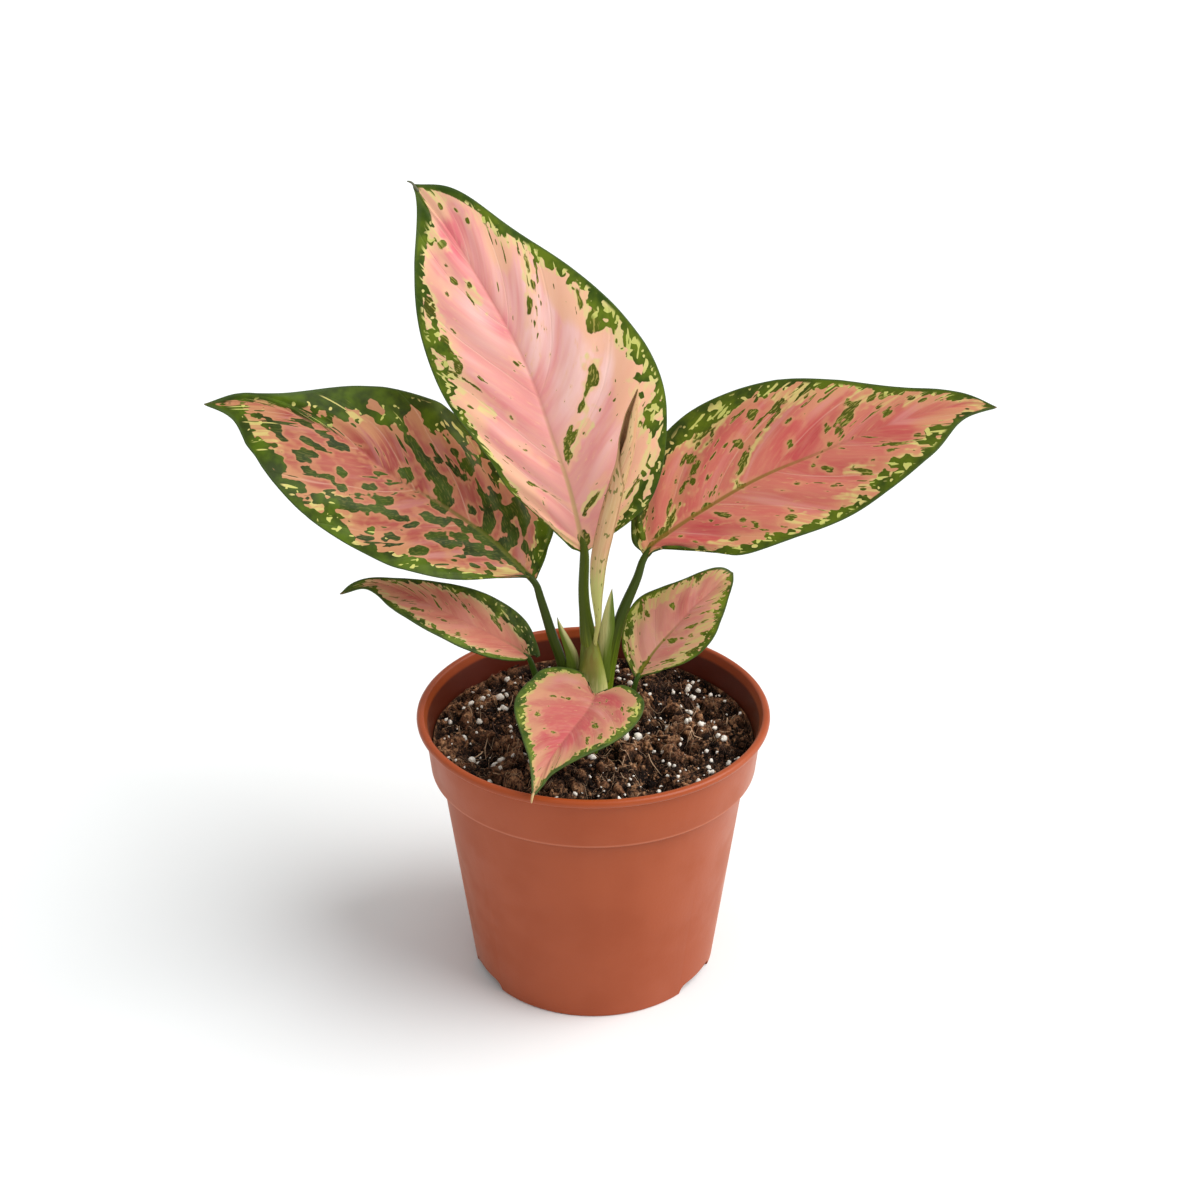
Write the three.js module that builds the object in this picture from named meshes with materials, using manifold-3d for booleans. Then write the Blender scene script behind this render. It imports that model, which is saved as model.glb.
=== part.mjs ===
// A young pink leaved Chinese evergreen in a round plastic nursery pot.
// Millimetres, +Z up, origin at the middle of the pot's underside, the front towards -Y.
import * as THREE from "three";
import { mergeVertices } from "three/addons/utils/BufferGeometryUtils.js";
import Module from "manifold-3d";

const wasm = await Module();
wasm.setup();

// Driving dimensions of the pot.
const POT_HEIGHT = 98;
const RIM_RADIUS = 60;
const RIM_WIDTH = 3;
const COLLAR_TOP_RADIUS = 57.4;
const COLLAR_FOOT_RADIUS = 55.7;
const COLLAR_FOOT_HEIGHT = 78.7;
const BODY_TOP_RADIUS = 52.4;
const FOOT_RADIUS = 42.7;
const WALL = 1.4;
const POT_SIDES = 48;

// Notches in the foot's edge, each under a raised step of the floor with a drain hole in it.
const NOTCH_ANGLES = [-62, 58, 178];
const NOTCH_HALF_ANGLE = 12;
const NOTCH_HEIGHT = 3.4;
const NOTCH_INNER_RADIUS = 34;
const DRAIN_RADIUS = 3.2;
const DRAIN_SIDES = 8;
const FLOOR_DRAINS = 6;
const FLOOR_DRAIN_CIRCLE = 21;

// Driving dimensions of the soil.
const SOIL_HEIGHT = 87.6;
const SOIL_GAP = 0.45;
const SOIL_SIDES = 32;
const SOIL_RINGS = 7;
const CLOD_COUNT = 60;
const CLOD_HEIGHT = 1.7;
const GRAIN_COUNT = 24;

// Driving dimensions of the plant.
const CLEARANCE = 0.3;
const BLADE_THICKNESS = 0.7;
const CURVE_STEPS = 40;
// The extruded circle is split into twice as many sides.
const STALK_SIDES = 5;

// Booleans work on closed meshes whose shared vertices are merged.

function toSolid(geometry) {
  const bare = geometry.clone();
  bare.deleteAttribute("normal");
  bare.deleteAttribute("uv");
  const merged = mergeVertices(bare, 1e-4);
  return new wasm.Manifold(
    new wasm.Mesh({
      numProp: 3,
      vertProperties: new Float32Array(merged.attributes.position.array),
      triVerts: new Uint32Array(merged.index.array),
    }),
  );
}

function toGeometry(solid) {
  const joined = solid.getMesh();
  const geometry = new THREE.BufferGeometry();
  geometry.setAttribute("position", new THREE.BufferAttribute(joined.vertProperties, 3));
  geometry.setIndex(new THREE.BufferAttribute(joined.triVerts, 1));
  geometry.computeVertexNormals();
  return geometry;
}

// Small helpers for numbers, curves and directions.

function seededRandom(seed) {
  let state = seed;
  return () => {
    state = (state * 1664525 + 1013904223) % 4294967296;
    return state / 4294967296;
  };
}

// Reads a row of numbers, spread evenly from a start to an end, at a share between 0 and 1.
function sample(values, share) {
  const place = THREE.MathUtils.clamp(share, 0, 1) * (values.length - 1);
  const first = Math.min(Math.floor(place), values.length - 2);
  return THREE.MathUtils.lerp(values[first], values[first + 1], place - first);
}

function smoothCurve(points) {
  const places = points.map((point) => new THREE.Vector3(...point));
  const curve = new THREE.CatmullRomCurve3(places, false, "catmullrom", 0.5);
  curve.arcLengthDivisions = CURVE_STEPS * (points.length - 1);
  return curve;
}

// The directions across a curve: to the right and to the front of the one that it runs in.
function acrossCurve(curve, share) {
  const along = curve.getTangentAt(share);
  const right = new THREE.Vector3(1, 0, 0).addScaledVector(along, -along.x).normalize();
  const front = new THREE.Vector3().crossVectors(along, right);
  return { along, right, front };
}

// A round bar of changing radius, made as an extruded circle that is laid along a curve. `grow` adds
// to its radius and its ends.
function bar({ curve, radii, steps, grow = 0 }) {
  const circle = new THREE.Shape();
  circle.absarc(0, 0, 1, 0, Math.PI * 2);
  const geometry = new THREE.ExtrudeGeometry(circle, {
    depth: 1,
    steps,
    bevelEnabled: false,
    curveSegments: STALK_SIDES,
  });
  const place = geometry.attributes.position;
  for (let i = 0; i < place.count; i += 1) {
    const share = place.getZ(i);
    const point = curve.getPointAt(share);
    const { along, right, front } = acrossCurve(curve, share);
    const radius = sample(radii, share) + grow;
    point.addScaledVector(right, place.getX(i) * radius);
    point.addScaledVector(front, place.getY(i) * radius);
    if (share === 0 || share === 1) {
      point.addScaledVector(along, share === 0 ? -grow : grow);
    }
    place.setXYZ(i, point.x, point.y, point.z);
  }
  return toSolid(geometry);
}

// A closed skin over rings of points that all have the same number of points.
function loft(rings) {
  const count = rings[0].length;
  const corners = rings.flat();
  const triangles = [];
  for (let r = 0; r + 1 < rings.length; r += 1) {
    for (let i = 0; i < count; i += 1) {
      const next = (i + 1) % count;
      const low = r * count;
      const high = low + count;
      triangles.push([low + i, low + next, high + next], [low + i, high + next, high + i]);
    }
  }
  const ends = [rings[0], rings[rings.length - 1]];
  const firsts = [0, (rings.length - 1) * count];
  ends.forEach((ring, end) => {
    const centre = ring.reduce((sum, point) => sum.add(point), new THREE.Vector3());
    corners.push(centre.divideScalar(count));
    for (let i = 0; i < count; i += 1) {
      const a = firsts[end] + i;
      const b = firsts[end] + ((i + 1) % count);
      triangles.push(end === 0 ? [b, a, corners.length - 1] : [a, b, corners.length - 1]);
    }
  });
  return skin(corners, triangles);
}

function skin(corners, triangles) {
  const geometry = new THREE.BufferGeometry();
  const numbers = corners.flatMap((point) => [point.x, point.y, point.z]);
  geometry.setAttribute("position", new THREE.Float32BufferAttribute(numbers, 3));
  const real = triangles.filter(([a, b, c]) => a !== b && b !== c && c !== a);
  geometry.setIndex(real.flat());
  return toSolid(geometry);
}

// The pot: a turned shell with a rolled lip and a shallow collar.

function lathe(profile, sides) {
  const points = profile.map(([radius, height]) => new THREE.Vector2(radius, height));
  const geometry = new THREE.LatheGeometry(points, sides);
  geometry.rotateX(Math.PI / 2);
  return geometry;
}

// Angles round the pot are in degrees from the front, positive to the right.
function onCircle(radius, angle) {
  const turn = THREE.MathUtils.degToRad(angle - 90);
  return [radius * Math.cos(turn), radius * Math.sin(turn)];
}

function sector(innerRadius, outerRadius, low, high, angle, halfAngle) {
  const start = THREE.MathUtils.degToRad(angle - halfAngle - 90);
  const end = THREE.MathUtils.degToRad(angle + halfAngle - 90);
  const outline = new THREE.Shape();
  outline.absarc(0, 0, outerRadius, start, end, false);
  outline.absarc(0, 0, innerRadius, end, start, true);
  const geometry = new THREE.ExtrudeGeometry(outline, {
    depth: high - low,
    bevelEnabled: false,
    curveSegments: 3,
  });
  geometry.translate(0, 0, low);
  return toSolid(geometry);
}

function drain(x, y) {
  const top = NOTCH_HEIGHT + WALL + 1;
  const geometry = new THREE.CylinderGeometry(DRAIN_RADIUS, DRAIN_RADIUS, top + 1, DRAIN_SIDES);
  geometry.rotateX(Math.PI / 2);
  geometry.translate(x, y, (top - 1) / 2);
  return toSolid(geometry);
}

function floorStep(angle, grow) {
  const inner = NOTCH_INNER_RADIUS - WALL - grow;
  const high = NOTCH_HEIGHT + WALL + grow;
  const halfAngle = NOTCH_HALF_ANGLE + 2.4 + 2 * grow;
  return sector(inner, FOOT_RADIUS - 0.6 + grow, 0.2, high, angle, halfAngle);
}

function potSolid() {
  const innerRim = RIM_RADIUS - RIM_WIDTH;
  const profile = [
    [0, 0],
    [FOOT_RADIUS - 0.8, 0],
    [FOOT_RADIUS, 0.8],
    [BODY_TOP_RADIUS, COLLAR_FOOT_HEIGHT - 1.2],
    [COLLAR_FOOT_RADIUS - 0.8, COLLAR_FOOT_HEIGHT - 0.5],
    [COLLAR_FOOT_RADIUS, COLLAR_FOOT_HEIGHT + 0.4],
    [COLLAR_TOP_RADIUS, POT_HEIGHT - 3],
    [RIM_RADIUS - 0.5, POT_HEIGHT - 2.3],
    [RIM_RADIUS, POT_HEIGHT - 1.4],
    [RIM_RADIUS - 0.3, POT_HEIGHT - 0.4],
    [RIM_RADIUS - 1, POT_HEIGHT],
    [innerRim + 0.9, POT_HEIGHT],
    [innerRim, POT_HEIGHT - 0.8],
    [COLLAR_TOP_RADIUS - WALL, POT_HEIGHT - 4],
    [COLLAR_FOOT_RADIUS - WALL, COLLAR_FOOT_HEIGHT + 1.2],
    [BODY_TOP_RADIUS - WALL, COLLAR_FOOT_HEIGHT - 0.6],
    [FOOT_RADIUS + 0.2 - WALL, WALL],
    [0, WALL],
  ];
  let pot = toSolid(lathe(profile, POT_SIDES));
  for (const angle of NOTCH_ANGLES) {
    const room = sector(NOTCH_INNER_RADIUS, RIM_RADIUS, -1, NOTCH_HEIGHT, angle, NOTCH_HALF_ANGLE);
    const [x, y] = onCircle(NOTCH_INNER_RADIUS + 3.8, angle);
    pot = pot.add(floorStep(angle, 0)).subtract(room).subtract(drain(x, y));
  }
  for (let i = 0; i < FLOOR_DRAINS; i += 1) {
    const [x, y] = onCircle(FLOOR_DRAIN_CIRCLE, 30 + (i * 360) / FLOOR_DRAINS);
    pot = pot.subtract(drain(x, y));
  }
  return pot;
}

// The soil: it fills the pot, its top is lumpy and carries half sunk white grains.

function clods() {
  const random = seededRandom(11);
  const list = [];
  for (let i = 0; i < CLOD_COUNT; i += 1) {
    const reach = 52 * Math.sqrt(random());
    const [x, y] = onCircle(reach, 360 * random());
    const radius = 4 + 6 * random();
    list.push({ x, y, radius, height: CLOD_HEIGHT * (random() * 2 - 1) });
  }
  return list;
}

const CLODS = clods();

function soilHeight(x, y) {
  let height = SOIL_HEIGHT + 1.6 * Math.exp(-(x * x + y * y) / 500);
  for (const clod of CLODS) {
    const away = (x - clod.x) ** 2 + (y - clod.y) ** 2;
    height += clod.height * Math.exp(-away / clod.radius ** 2);
  }
  return height;
}

function soilBody() {
  const topRadius = COLLAR_FOOT_RADIUS + 0.7 - WALL - SOIL_GAP;
  const profile = [
    [0, WALL + CLEARANCE],
    [FOOT_RADIUS - WALL - SOIL_GAP, WALL + CLEARANCE],
    [BODY_TOP_RADIUS - WALL - SOIL_GAP, COLLAR_FOOT_HEIGHT - 0.4],
    [COLLAR_FOOT_RADIUS - WALL - SOIL_GAP, COLLAR_FOOT_HEIGHT + 1.5],
  ];
  for (let ring = SOIL_RINGS; ring >= 0; ring -= 1) {
    profile.push([(topRadius * ring) / SOIL_RINGS, SOIL_HEIGHT]);
  }
  const geometry = lathe(profile, SOIL_SIDES);
  const place = geometry.attributes.position;
  for (let i = 0; i < place.count; i += 1) {
    if (place.getZ(i) > SOIL_HEIGHT - 0.01) {
      place.setZ(i, soilHeight(place.getX(i), place.getY(i)));
    }
  }
  return toSolid(geometry);
}

function soilSolid(stalks) {
  const random = seededRandom(29);
  let soil = soilBody();
  for (let i = 0; i < GRAIN_COUNT; i += 1) {
    const [x, y] = onCircle(11 + 40 * Math.sqrt(random()), 360 * random());
    const grain = new THREE.OctahedronGeometry(1 + 1 * random());
    grain.rotateX(3 * random());
    grain.rotateZ(3 * random());
    grain.translate(x, y, soilHeight(x, y) + 0.3);
    soil = soil.add(toSolid(grain));
  }
  for (const angle of NOTCH_ANGLES) {
    soil = soil.subtract(floorStep(angle, CLEARANCE));
  }
  for (const stalk of stalks) {
    soil = soil.subtract(stalk);
  }
  return soil;
}

// A leaf's stalk runs from its foot to just past the blade's base, and its path runs along the midrib
// from the base to the tip. `left` and `right` are the blade's half outlines: rows of the distance
// along the midrib, as a share of its length, and the half width. VEIN_ROOTS says where on the midrib
// the side vein to each of their points starts. `face` is where the upper side looks, `fold` how many
// degrees each half rises from it, and `cup` how many degrees a millimetre the half bends back, all
// three from the base to the tip.
const VEIN_ROOTS = [0, 0.015, 0.05, 0.15, 0.31, 0.49, 0.67, 0.84, 1];

const LEAVES = {
  leaf_top: {
    stalk: {
      path: [[0.4, 0.6, 104], [-0.6, 1, 116], [-2.3, 2.6, 129], [-3.2, 4.4, 140], [-2.9, 5.6, 154],
        [-4.2, 7.2, 161]],
      radii: [2.7, 2.7, 2.9, 4.3, 3.3, 2.3, 1.85, 1.8, 1.75, 1.7, 1.6, 1.3, 0.9],
      steps: 12,
    },
    path: [[-2.9, 5.4, 154], [-7.4, 9, 174], [-12.4, 12.5, 189], [-19, 17.5, 208], [-25.6, 22, 222],
      [-36.5, 29, 239.5], [-46.6, 36, 254], [-58, 44.5, 266.5]],
    face: [[0.02, -0.96, 0.28], [0.05, -0.94, 0.34], [0.1, -0.9, 0.42]],
    fold: [13, 14, 8],
    cup: [0.4, 0.55, 0.7],
    left: [[0, 1.2], [0.04, 6], [0.19, 18], [0.29, 21.5], [0.48, 28.5], [0.66, 26], [0.82, 16],
      [0.95, 3.5], [1, 0]],
    right: [[0, 1.2], [0.06, 18], [0.12, 27.5], [0.25, 37.5], [0.41, 39], [0.62, 28], [0.79, 17],
      [0.93, 9], [1, 0]],
    ribs: 24,
    across: [0, 0.07, 0.32, 0.66, 1],
    wave: { height: 1.2, count: 3, start: [0.1, 0.6] },
    colour: 0xe59a93,
  },
  leaf_left: {
    stalk: {
      path: [[-7, 3, 78], [-8.4, 3, 92], [-10.4, 3, 112], [-13.8, 3.2, 124], [-17.4, 4, 137],
        [-19.3, 4.8, 142.8], [-23.6, 6.2, 147.2]],
      radii: [1.9, 2, 2, 1.8, 1.7, 1.4, 0.9],
    },
    path: [[-19.4, 5, 143.5], [-24.2, 6.5, 148], [-35, 9, 158], [-50, 11.5, 168.3], [-65.5, 13.5, 177.3],
      [-79.4, 15, 188.8], [-98, 16.5, 198.6], [-111, 16.5, 202], [-125.7, 15, 202.5]],
    face: [[0.3, -0.66, 0.69], [0.3, -0.67, 0.68], [0.3, -0.6, 0.75]],
    fold: [9, 14, 8],
    cup: [0.5, 0.7, 0.7],
    left: [[0, 1.2], [0.03, 1.7], [0.15, 18.5], [0.3, 27], [0.43, 29], [0.64, 30.5], [0.85, 18.5],
      [0.93, 6], [1, 0]],
    right: [[0, 1.2], [0.03, 10.5], [0.09, 23], [0.28, 27], [0.48, 31], [0.65, 20], [0.81, 5.5],
      [0.93, 2.7], [1, 0]],
    ribs: 24,
    across: [0, 0.07, 0.32, 0.66, 1],
    wave: { height: 1, count: 3, start: [0.3, 0.8] },
    colour: 0xc98072,
  },
  leaf_right: {
    stalk: {
      path: [[3, 1.4, 92], [4.2, 1.6, 103], [5.6, 2, 114], [8.9, 2.2, 130.4], [14.4, 3.2, 145],
        [16.8, 4, 152.4], [20.6, 5.6, 157]],
      radii: [2, 2.2, 2.2, 2, 1.8, 1.4, 0.9],
    },
    path: [[17, 4, 153.3], [21, 5.5, 158], [40.6, 10.5, 169.8], [56.4, 13.5, 178], [72.1, 15.5, 184.2],
      [87.8, 17, 190.8], [103.3, 18, 196.6], [118.8, 18, 200.6], [130.8, 16, 201]],
    face: [[-0.3, -0.6, 0.74], [-0.3, -0.64, 0.7], [-0.3, -0.6, 0.75]],
    fold: [9, 14, 8],
    cup: [0.5, 0.7, 0.7],
    left: [[0, 1.2], [0.04, 13], [0.1, 24], [0.29, 35], [0.49, 31], [0.64, 21.5], [0.77, 12],
      [0.87, 6.5], [1, 0]],
    right: [[0, 1.2], [0.08, 6], [0.15, 15.5], [0.24, 24], [0.45, 26.5], [0.63, 24], [0.8, 16.5],
      [0.9, 6.5], [1, 0]],
    ribs: 24,
    across: [0, 0.07, 0.32, 0.66, 1],
    wave: { height: 1, count: 3, start: [0.5, 0.1] },
    colour: 0xcb7a6e,
  },
  leaf_lower_left: {
    stalk: {
      path: [[-11, 7.4, 76], [-15, 8, 90], [-18.4, 8.2, 101], [-20.4, 8.2, 108], [-22, 8, 112.6],
        [-26, 7.8, 116]],
      radii: [1.5, 1.5, 1.4, 1.3, 1, 0.7],
    },
    path: [[-22, 8, 113.4], [-29, 7.5, 118.8], [-41, 7, 126], [-52, 6.5, 132.3], [-65, 6, 140],
      [-74, 5, 142.4], [-84.2, 3, 139.8]],
    face: [[0.15, -0.45, 0.88], [0.2, -0.45, 0.88], [0.2, -0.4, 0.9]],
    fold: [18, 14, 8],
    cup: [0.6, 0.8, 0.8],
    left: [[0, 1], [0.03, 4], [0.14, 9], [0.3, 11.5], [0.44, 12], [0.62, 11], [0.75, 8.5],
      [0.88, 1.6], [1, 0]],
    right: [[0, 1], [-0.05, 3], [0.09, 10.5], [0.27, 12.5], [0.44, 11.5], [0.57, 9], [0.77, 3],
      [0.93, 1.8], [1, 0]],
    ribs: 15,
    across: [0, 0.1, 0.5, 1],
    wave: { height: 0.7, count: 2, start: [0.1, 0.5] },
    colour: 0xc68a7a,
  },
  leaf_lower_right: {
    stalk: {
      path: [[9, 3.4, 76], [10.6, 3, 90], [12.8, 1.8, 100], [14.6, 0.8, 108], [17.2, 2.8, 112]],
      radii: [1.5, 1.5, 1.3, 1, 0.7],
    },
    path: [[14.6, 0.8, 109], [20.4, 5, 116.6], [27.8, 10, 123.4], [34, 16, 128], [39.6, 22, 130.2],
      [44.6, 27, 133], [48.4, 31, 133.8]],
    face: [[-0.2, -0.72, 0.66], [-0.2, -0.7, 0.66], [-0.2, -0.7, 0.66]],
    fold: [14, 12, 8],
    cup: [0.6, 0.8, 0.8],
    left: [[0, 1], [0.04, 4.5], [0.12, 10], [0.28, 15.5], [0.46, 16], [0.65, 11], [0.81, 8],
      [0.96, 3.5], [1, 0]],
    right: [[0, 1], [0.05, 2.3], [0.15, 7.5], [0.29, 12], [0.46, 13.5], [0.64, 10.5], [0.8, 6.5],
      [0.92, 3.5], [1, 0]],
    ribs: 15,
    across: [0, 0.1, 0.5, 1],
    wave: { height: 0.7, count: 2, start: [0.6, 0.2] },
    colour: 0xc98b80,
  },
  leaf_front: {
    stalk: {
      path: [[0, -6.6, 76], [0.2, -8, 92], [0.6, -10.4, 102], [0.5, -12.4, 108.2], [0, -15.4, 109]],
      radii: [1.5, 1.5, 1.3, 1, 0.7],
    },
    path: [[0.6, -12, 109.8], [-1, -18, 109.2], [-2.9, -23, 108.8], [-7.8, -34, 108], [-12.8, -45, 106.6],
      [-16.4, -54, 104.2], [-18.8, -61.5, 101.6]],
    face: [[0, -0.3, 0.95], [0, -0.3, 0.95], [0, -0.35, 0.94]],
    fold: [14, 14, 16],
    cup: [0.3, 0.6, 0.6],
    left: [[0, 1], [-0.1, 8.5], [0.05, 17.5], [0.27, 18], [0.48, 15], [0.64, 10], [0.81, 3.5],
      [0.91, 2.1], [1, 0]],
    right: [[0, 1], [-0.17, 8.5], [-0.06, 19.5], [0.28, 22], [0.46, 19.5], [0.63, 12],
      [0.75, 6.5], [0.88, 2.5], [1, 0]],
    ribs: 18,
    across: [0, 0.1, 0.5, 1],
    wave: { height: 0.6, count: 2, start: [0.1, 0.5] },
    colour: 0xd98b86,
  },
};

// The thin sheaths that stand beside two of the stalks, each grown from its stalk.
const SHEATHS = {
  leaf_left: {
    path: [[-5.4, 1, 98], [-5.9, 1, 108], [-6.8, 1, 116.5], [-8.8, 1.3, 122.4], [-10.4, 1.5, 126.6],
      [-12, 1.6, 131.5]],
    face: [[0.2, -1, 0.1], [0.2, -1, 0.1]],
    fold: [-20, -20],
    cup: [6, 6],
    left: [[0, 4.2], [0.12, 4.4], [0.25, 4.4], [0.4, 4], [0.55, 3.2], [0.7, 2.1], [0.82, 1.5],
      [0.92, 0.9], [1, 0]],
    right: [[0, 1.6], [0.12, 1.8], [0.25, 2], [0.4, 2.2], [0.55, 2.3], [0.7, 1.7], [0.82, 1.1],
      [0.92, 0.5], [1, 0]],
    ribs: 9,
    across: [0, 0.5, 1],
    wave: { height: 0, count: 1, start: [0, 0] },
  },
  leaf_right: {
    path: [[3.4, -0.9, 108], [3.8, -0.6, 120], [4.6, -0.2, 129], [5.3, 0.3, 136], [6.2, 1, 142.6]],
    face: [[-0.2, -1, 0.1], [-0.2, -1, 0.1]],
    fold: [-20, -20],
    cup: [6, 6],
    left: [[0, 1.6], [0.12, 1.8], [0.25, 2], [0.4, 2.1], [0.55, 2.1], [0.7, 1.8], [0.82, 1.2],
      [0.92, 0.6], [1, 0]],
    right: [[0, 2], [0.12, 2.6], [0.25, 3], [0.4, 3], [0.55, 2.8], [0.7, 2.4], [0.82, 1.6],
      [0.92, 0.8], [1, 0]],
    ribs: 8,
    across: [0, 0.5, 1],
    wave: { height: 0, count: 1, start: [0, 0] },
  },
};

const VEIN_BEND = 1.3;
const QUILT_COUNT = 8;
const QUILT_HEIGHT = 0.35;
const MIDRIB_SINK = 0.2;
const KEEL_DEPTH = 1.2;

class Blade {
  constructor(leaf) {
    this.leaf = leaf;
    this.curve = smoothCurve(leaf.path);
    this.length = this.curve.getLength();
    this.outlines = [leaf.left, leaf.right].map((rows) =>
      smoothCurve(rows.map(([along, width], i) => [along, width, VEIN_ROOTS[i]])),
    );
  }

  direction(values, share) {
    const parts = [0, 1, 2].map((axis) => sample(values.map((value) => value[axis]), share));
    return new THREE.Vector3(...parts);
  }

  // The midrib's point and directions, a distance in mm from the base, also a little before it.
  midrib(distance) {
    const share = THREE.MathUtils.clamp(distance / this.length, 0, 1);
    const inside = THREE.MathUtils.clamp(distance, 0.4, this.length - 0.4);
    const along = this.curve.getTangentAt(inside / this.length);
    const point = this.curve.getPointAt(share);
    point.addScaledVector(along, Math.min(distance, 0));
    const face = this.direction(this.leaf.face, share);
    const right = new THREE.Vector3().crossVectors(along, face).normalize();
    const up = new THREE.Vector3().crossVectors(right, along);
    return { point, right, up, share };
  }

  // A point of the upper face: `vein` runs from the base to the tip, `across` from -1 to 1.
  surface(vein, across, grow) {
    const side = across < 0 ? 0 : 1;
    const reach = Math.abs(across);
    const { leaf } = this;
    const edge = this.outlines[side].getPoint(vein);
    const distance = (edge.z + (edge.x - edge.z) * reach ** VEIN_BEND) * this.length;
    const { point, right, up, share } = this.midrib(distance);
    const width = (Math.max(edge.y, 0) + grow) * reach;
    const fold = THREE.MathUtils.degToRad(sample(leaf.fold, share));
    const cup = THREE.MathUtils.degToRad(sample(leaf.cup, share));
    const turned = fold - cup * width;
    const out = (Math.sin(fold) - Math.sin(turned)) / cup;
    const rise = (Math.cos(turned) - Math.cos(fold)) / cup;
    const fade = Math.sin(Math.PI * THREE.MathUtils.clamp(vein, 0, 1));
    const { height, count, start } = leaf.wave;
    const wave = height * Math.sin(2 * Math.PI * (count * vein + start[side])) * reach ** 2 * fade;
    const size = Math.min(this.length / 100, 1);
    const quilt = QUILT_HEIGHT * size * Math.cos(2 * Math.PI * QUILT_COUNT * vein) * fade;
    const middle = reach === 0 ? -MIDRIB_SINK * size : 0;
    point.addScaledVector(right, across < 0 ? -out : out);
    return point.addScaledVector(up, rise + wave + quilt * Math.sin(Math.PI * reach) + middle);
  }

  solid(grow = 0) {
    const { leaf } = this;
    const size = Math.min(this.length / 100, 1);
    const half = leaf.across;
    const row = [...half.slice(1).reverse().map((across) => -across), ...half];
    const grid = [];
    for (let i = 0; i <= leaf.ribs; i += 1) {
      grid.push(row.map((across) => this.surface(i / leaf.ribs, across, grow)));
    }
    const keel = leaf.stalk ? KEEL_DEPTH * size : 0;
    const upper = [];
    const lower = [];
    grid.forEach((line, i) => {
      line.forEach((point, j) => {
        const rib = Math.min(i, leaf.ribs - 1);
        const before = grid[Math.max(rib - 1, 0)][j];
        const after = grid[Math.min(rib + 1, leaf.ribs - 1)][j];
        const leftward = grid[rib][Math.max(j - 1, 0)];
        const rightward = grid[rib][Math.min(j + 1, row.length - 1)];
        const run = new THREE.Vector3().subVectors(after, before);
        const normal = new THREE.Vector3().subVectors(rightward, leftward).cross(run).normalize();
        const deep = row[j] === 0 ? keel * (1 - i / leaf.ribs) : 0;
        if (i === 0) {
          point.addScaledVector(run.normalize(), -grow);
        }
        upper.push(point.clone().addScaledVector(normal, grow));
        lower.push(point.clone().addScaledVector(normal, -BLADE_THICKNESS - deep - grow));
      });
    });
    return this.closed(upper, lower, row.length);
  }

  // Joins the two faces, split into triangles alike, with the last row drawn together at the tip.
  closed(upper, lower, columns) {
    const ribs = this.leaf.ribs;
    const middle = (columns - 1) / 2;
    const corners = [...upper, ...lower];
    const at = (i, j) => (i === ribs ? ribs * columns + middle : i * columns + j);
    const under = (i, j) => at(i, j) + upper.length;
    const triangles = [];
    for (let i = 0; i < ribs; i += 1) {
      for (let j = 0; j + 1 < columns; j += 1) {
        triangles.push([at(i, j), at(i, j + 1), at(i + 1, j + 1)]);
        triangles.push([at(i, j), at(i + 1, j + 1), at(i + 1, j)]);
        triangles.push([under(i, j), under(i + 1, j + 1), under(i, j + 1)]);
        triangles.push([under(i, j), under(i + 1, j), under(i + 1, j + 1)]);
      }
      const last = columns - 1;
      triangles.push([at(i, 0), at(i + 1, 0), under(i + 1, 0)]);
      triangles.push([at(i, 0), under(i + 1, 0), under(i, 0)]);
      triangles.push([at(i, last), under(i + 1, last), at(i + 1, last)]);
      triangles.push([at(i, last), under(i, last), under(i + 1, last)]);
    }
    for (let j = 0; j + 1 < columns; j += 1) {
      triangles.push([at(0, j), under(0, j), under(0, j + 1)]);
      triangles.push([at(0, j), under(0, j + 1), at(0, j + 1)]);
    }
    return skin(corners, triangles);
  }

  stalk(grow = 0) {
    const { path, radii, steps = 2 * (path.length - 1) } = this.leaf.stalk;
    return bar({ curve: smoothCurve(path), radii, steps, grow });
  }
}

const out = new THREE.Group();
out.name = "potted_evergreen";

function place(name, solid, colour, roughness) {
  const material = new THREE.MeshStandardMaterial({ color: colour, roughness, metalness: 0 });
  const piece = new THREE.Mesh(toGeometry(solid), material);
  piece.name = name;
  out.add(piece);
}

// The new leaf, still rolled up. Its section is a spiral step: the radius falls a little on the way
// round, and at the free edge it drops to the roll's inside, deeper where the roll starts to open.
const ROLL = {
  path: [[0.4, 0.2, 120.5], [1, -0.8, 126], [1.7, -1.6, 132], [1.4, -2, 143], [2, -2.4, 154], [4, -2.6, 165],
    [6.1, -2.6, 174.5], [8, -2.6, 182], [10.2, -2, 190.5], [11.4, -1.4, 199], [12.6, -0.6, 206],
    [14.2, 0, 213.2]],
  radii: [0.7, 0.9, 1.7, 2.7, 3.2, 3.4, 3.35, 3.1, 2.7, 3, 2.2, 0.3],
  gape: [0.1, 0.1, 0.1, 0.12, 0.15, 0.2, 0.3, 0.6, 0.75, 0.75, 0.6, 0.1],
  edge: [300, 300, 300, 295, 290, 280, 270, 255, 240, 235, 230, 230],
  steps: 24,
  sides: 15,
};

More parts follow.
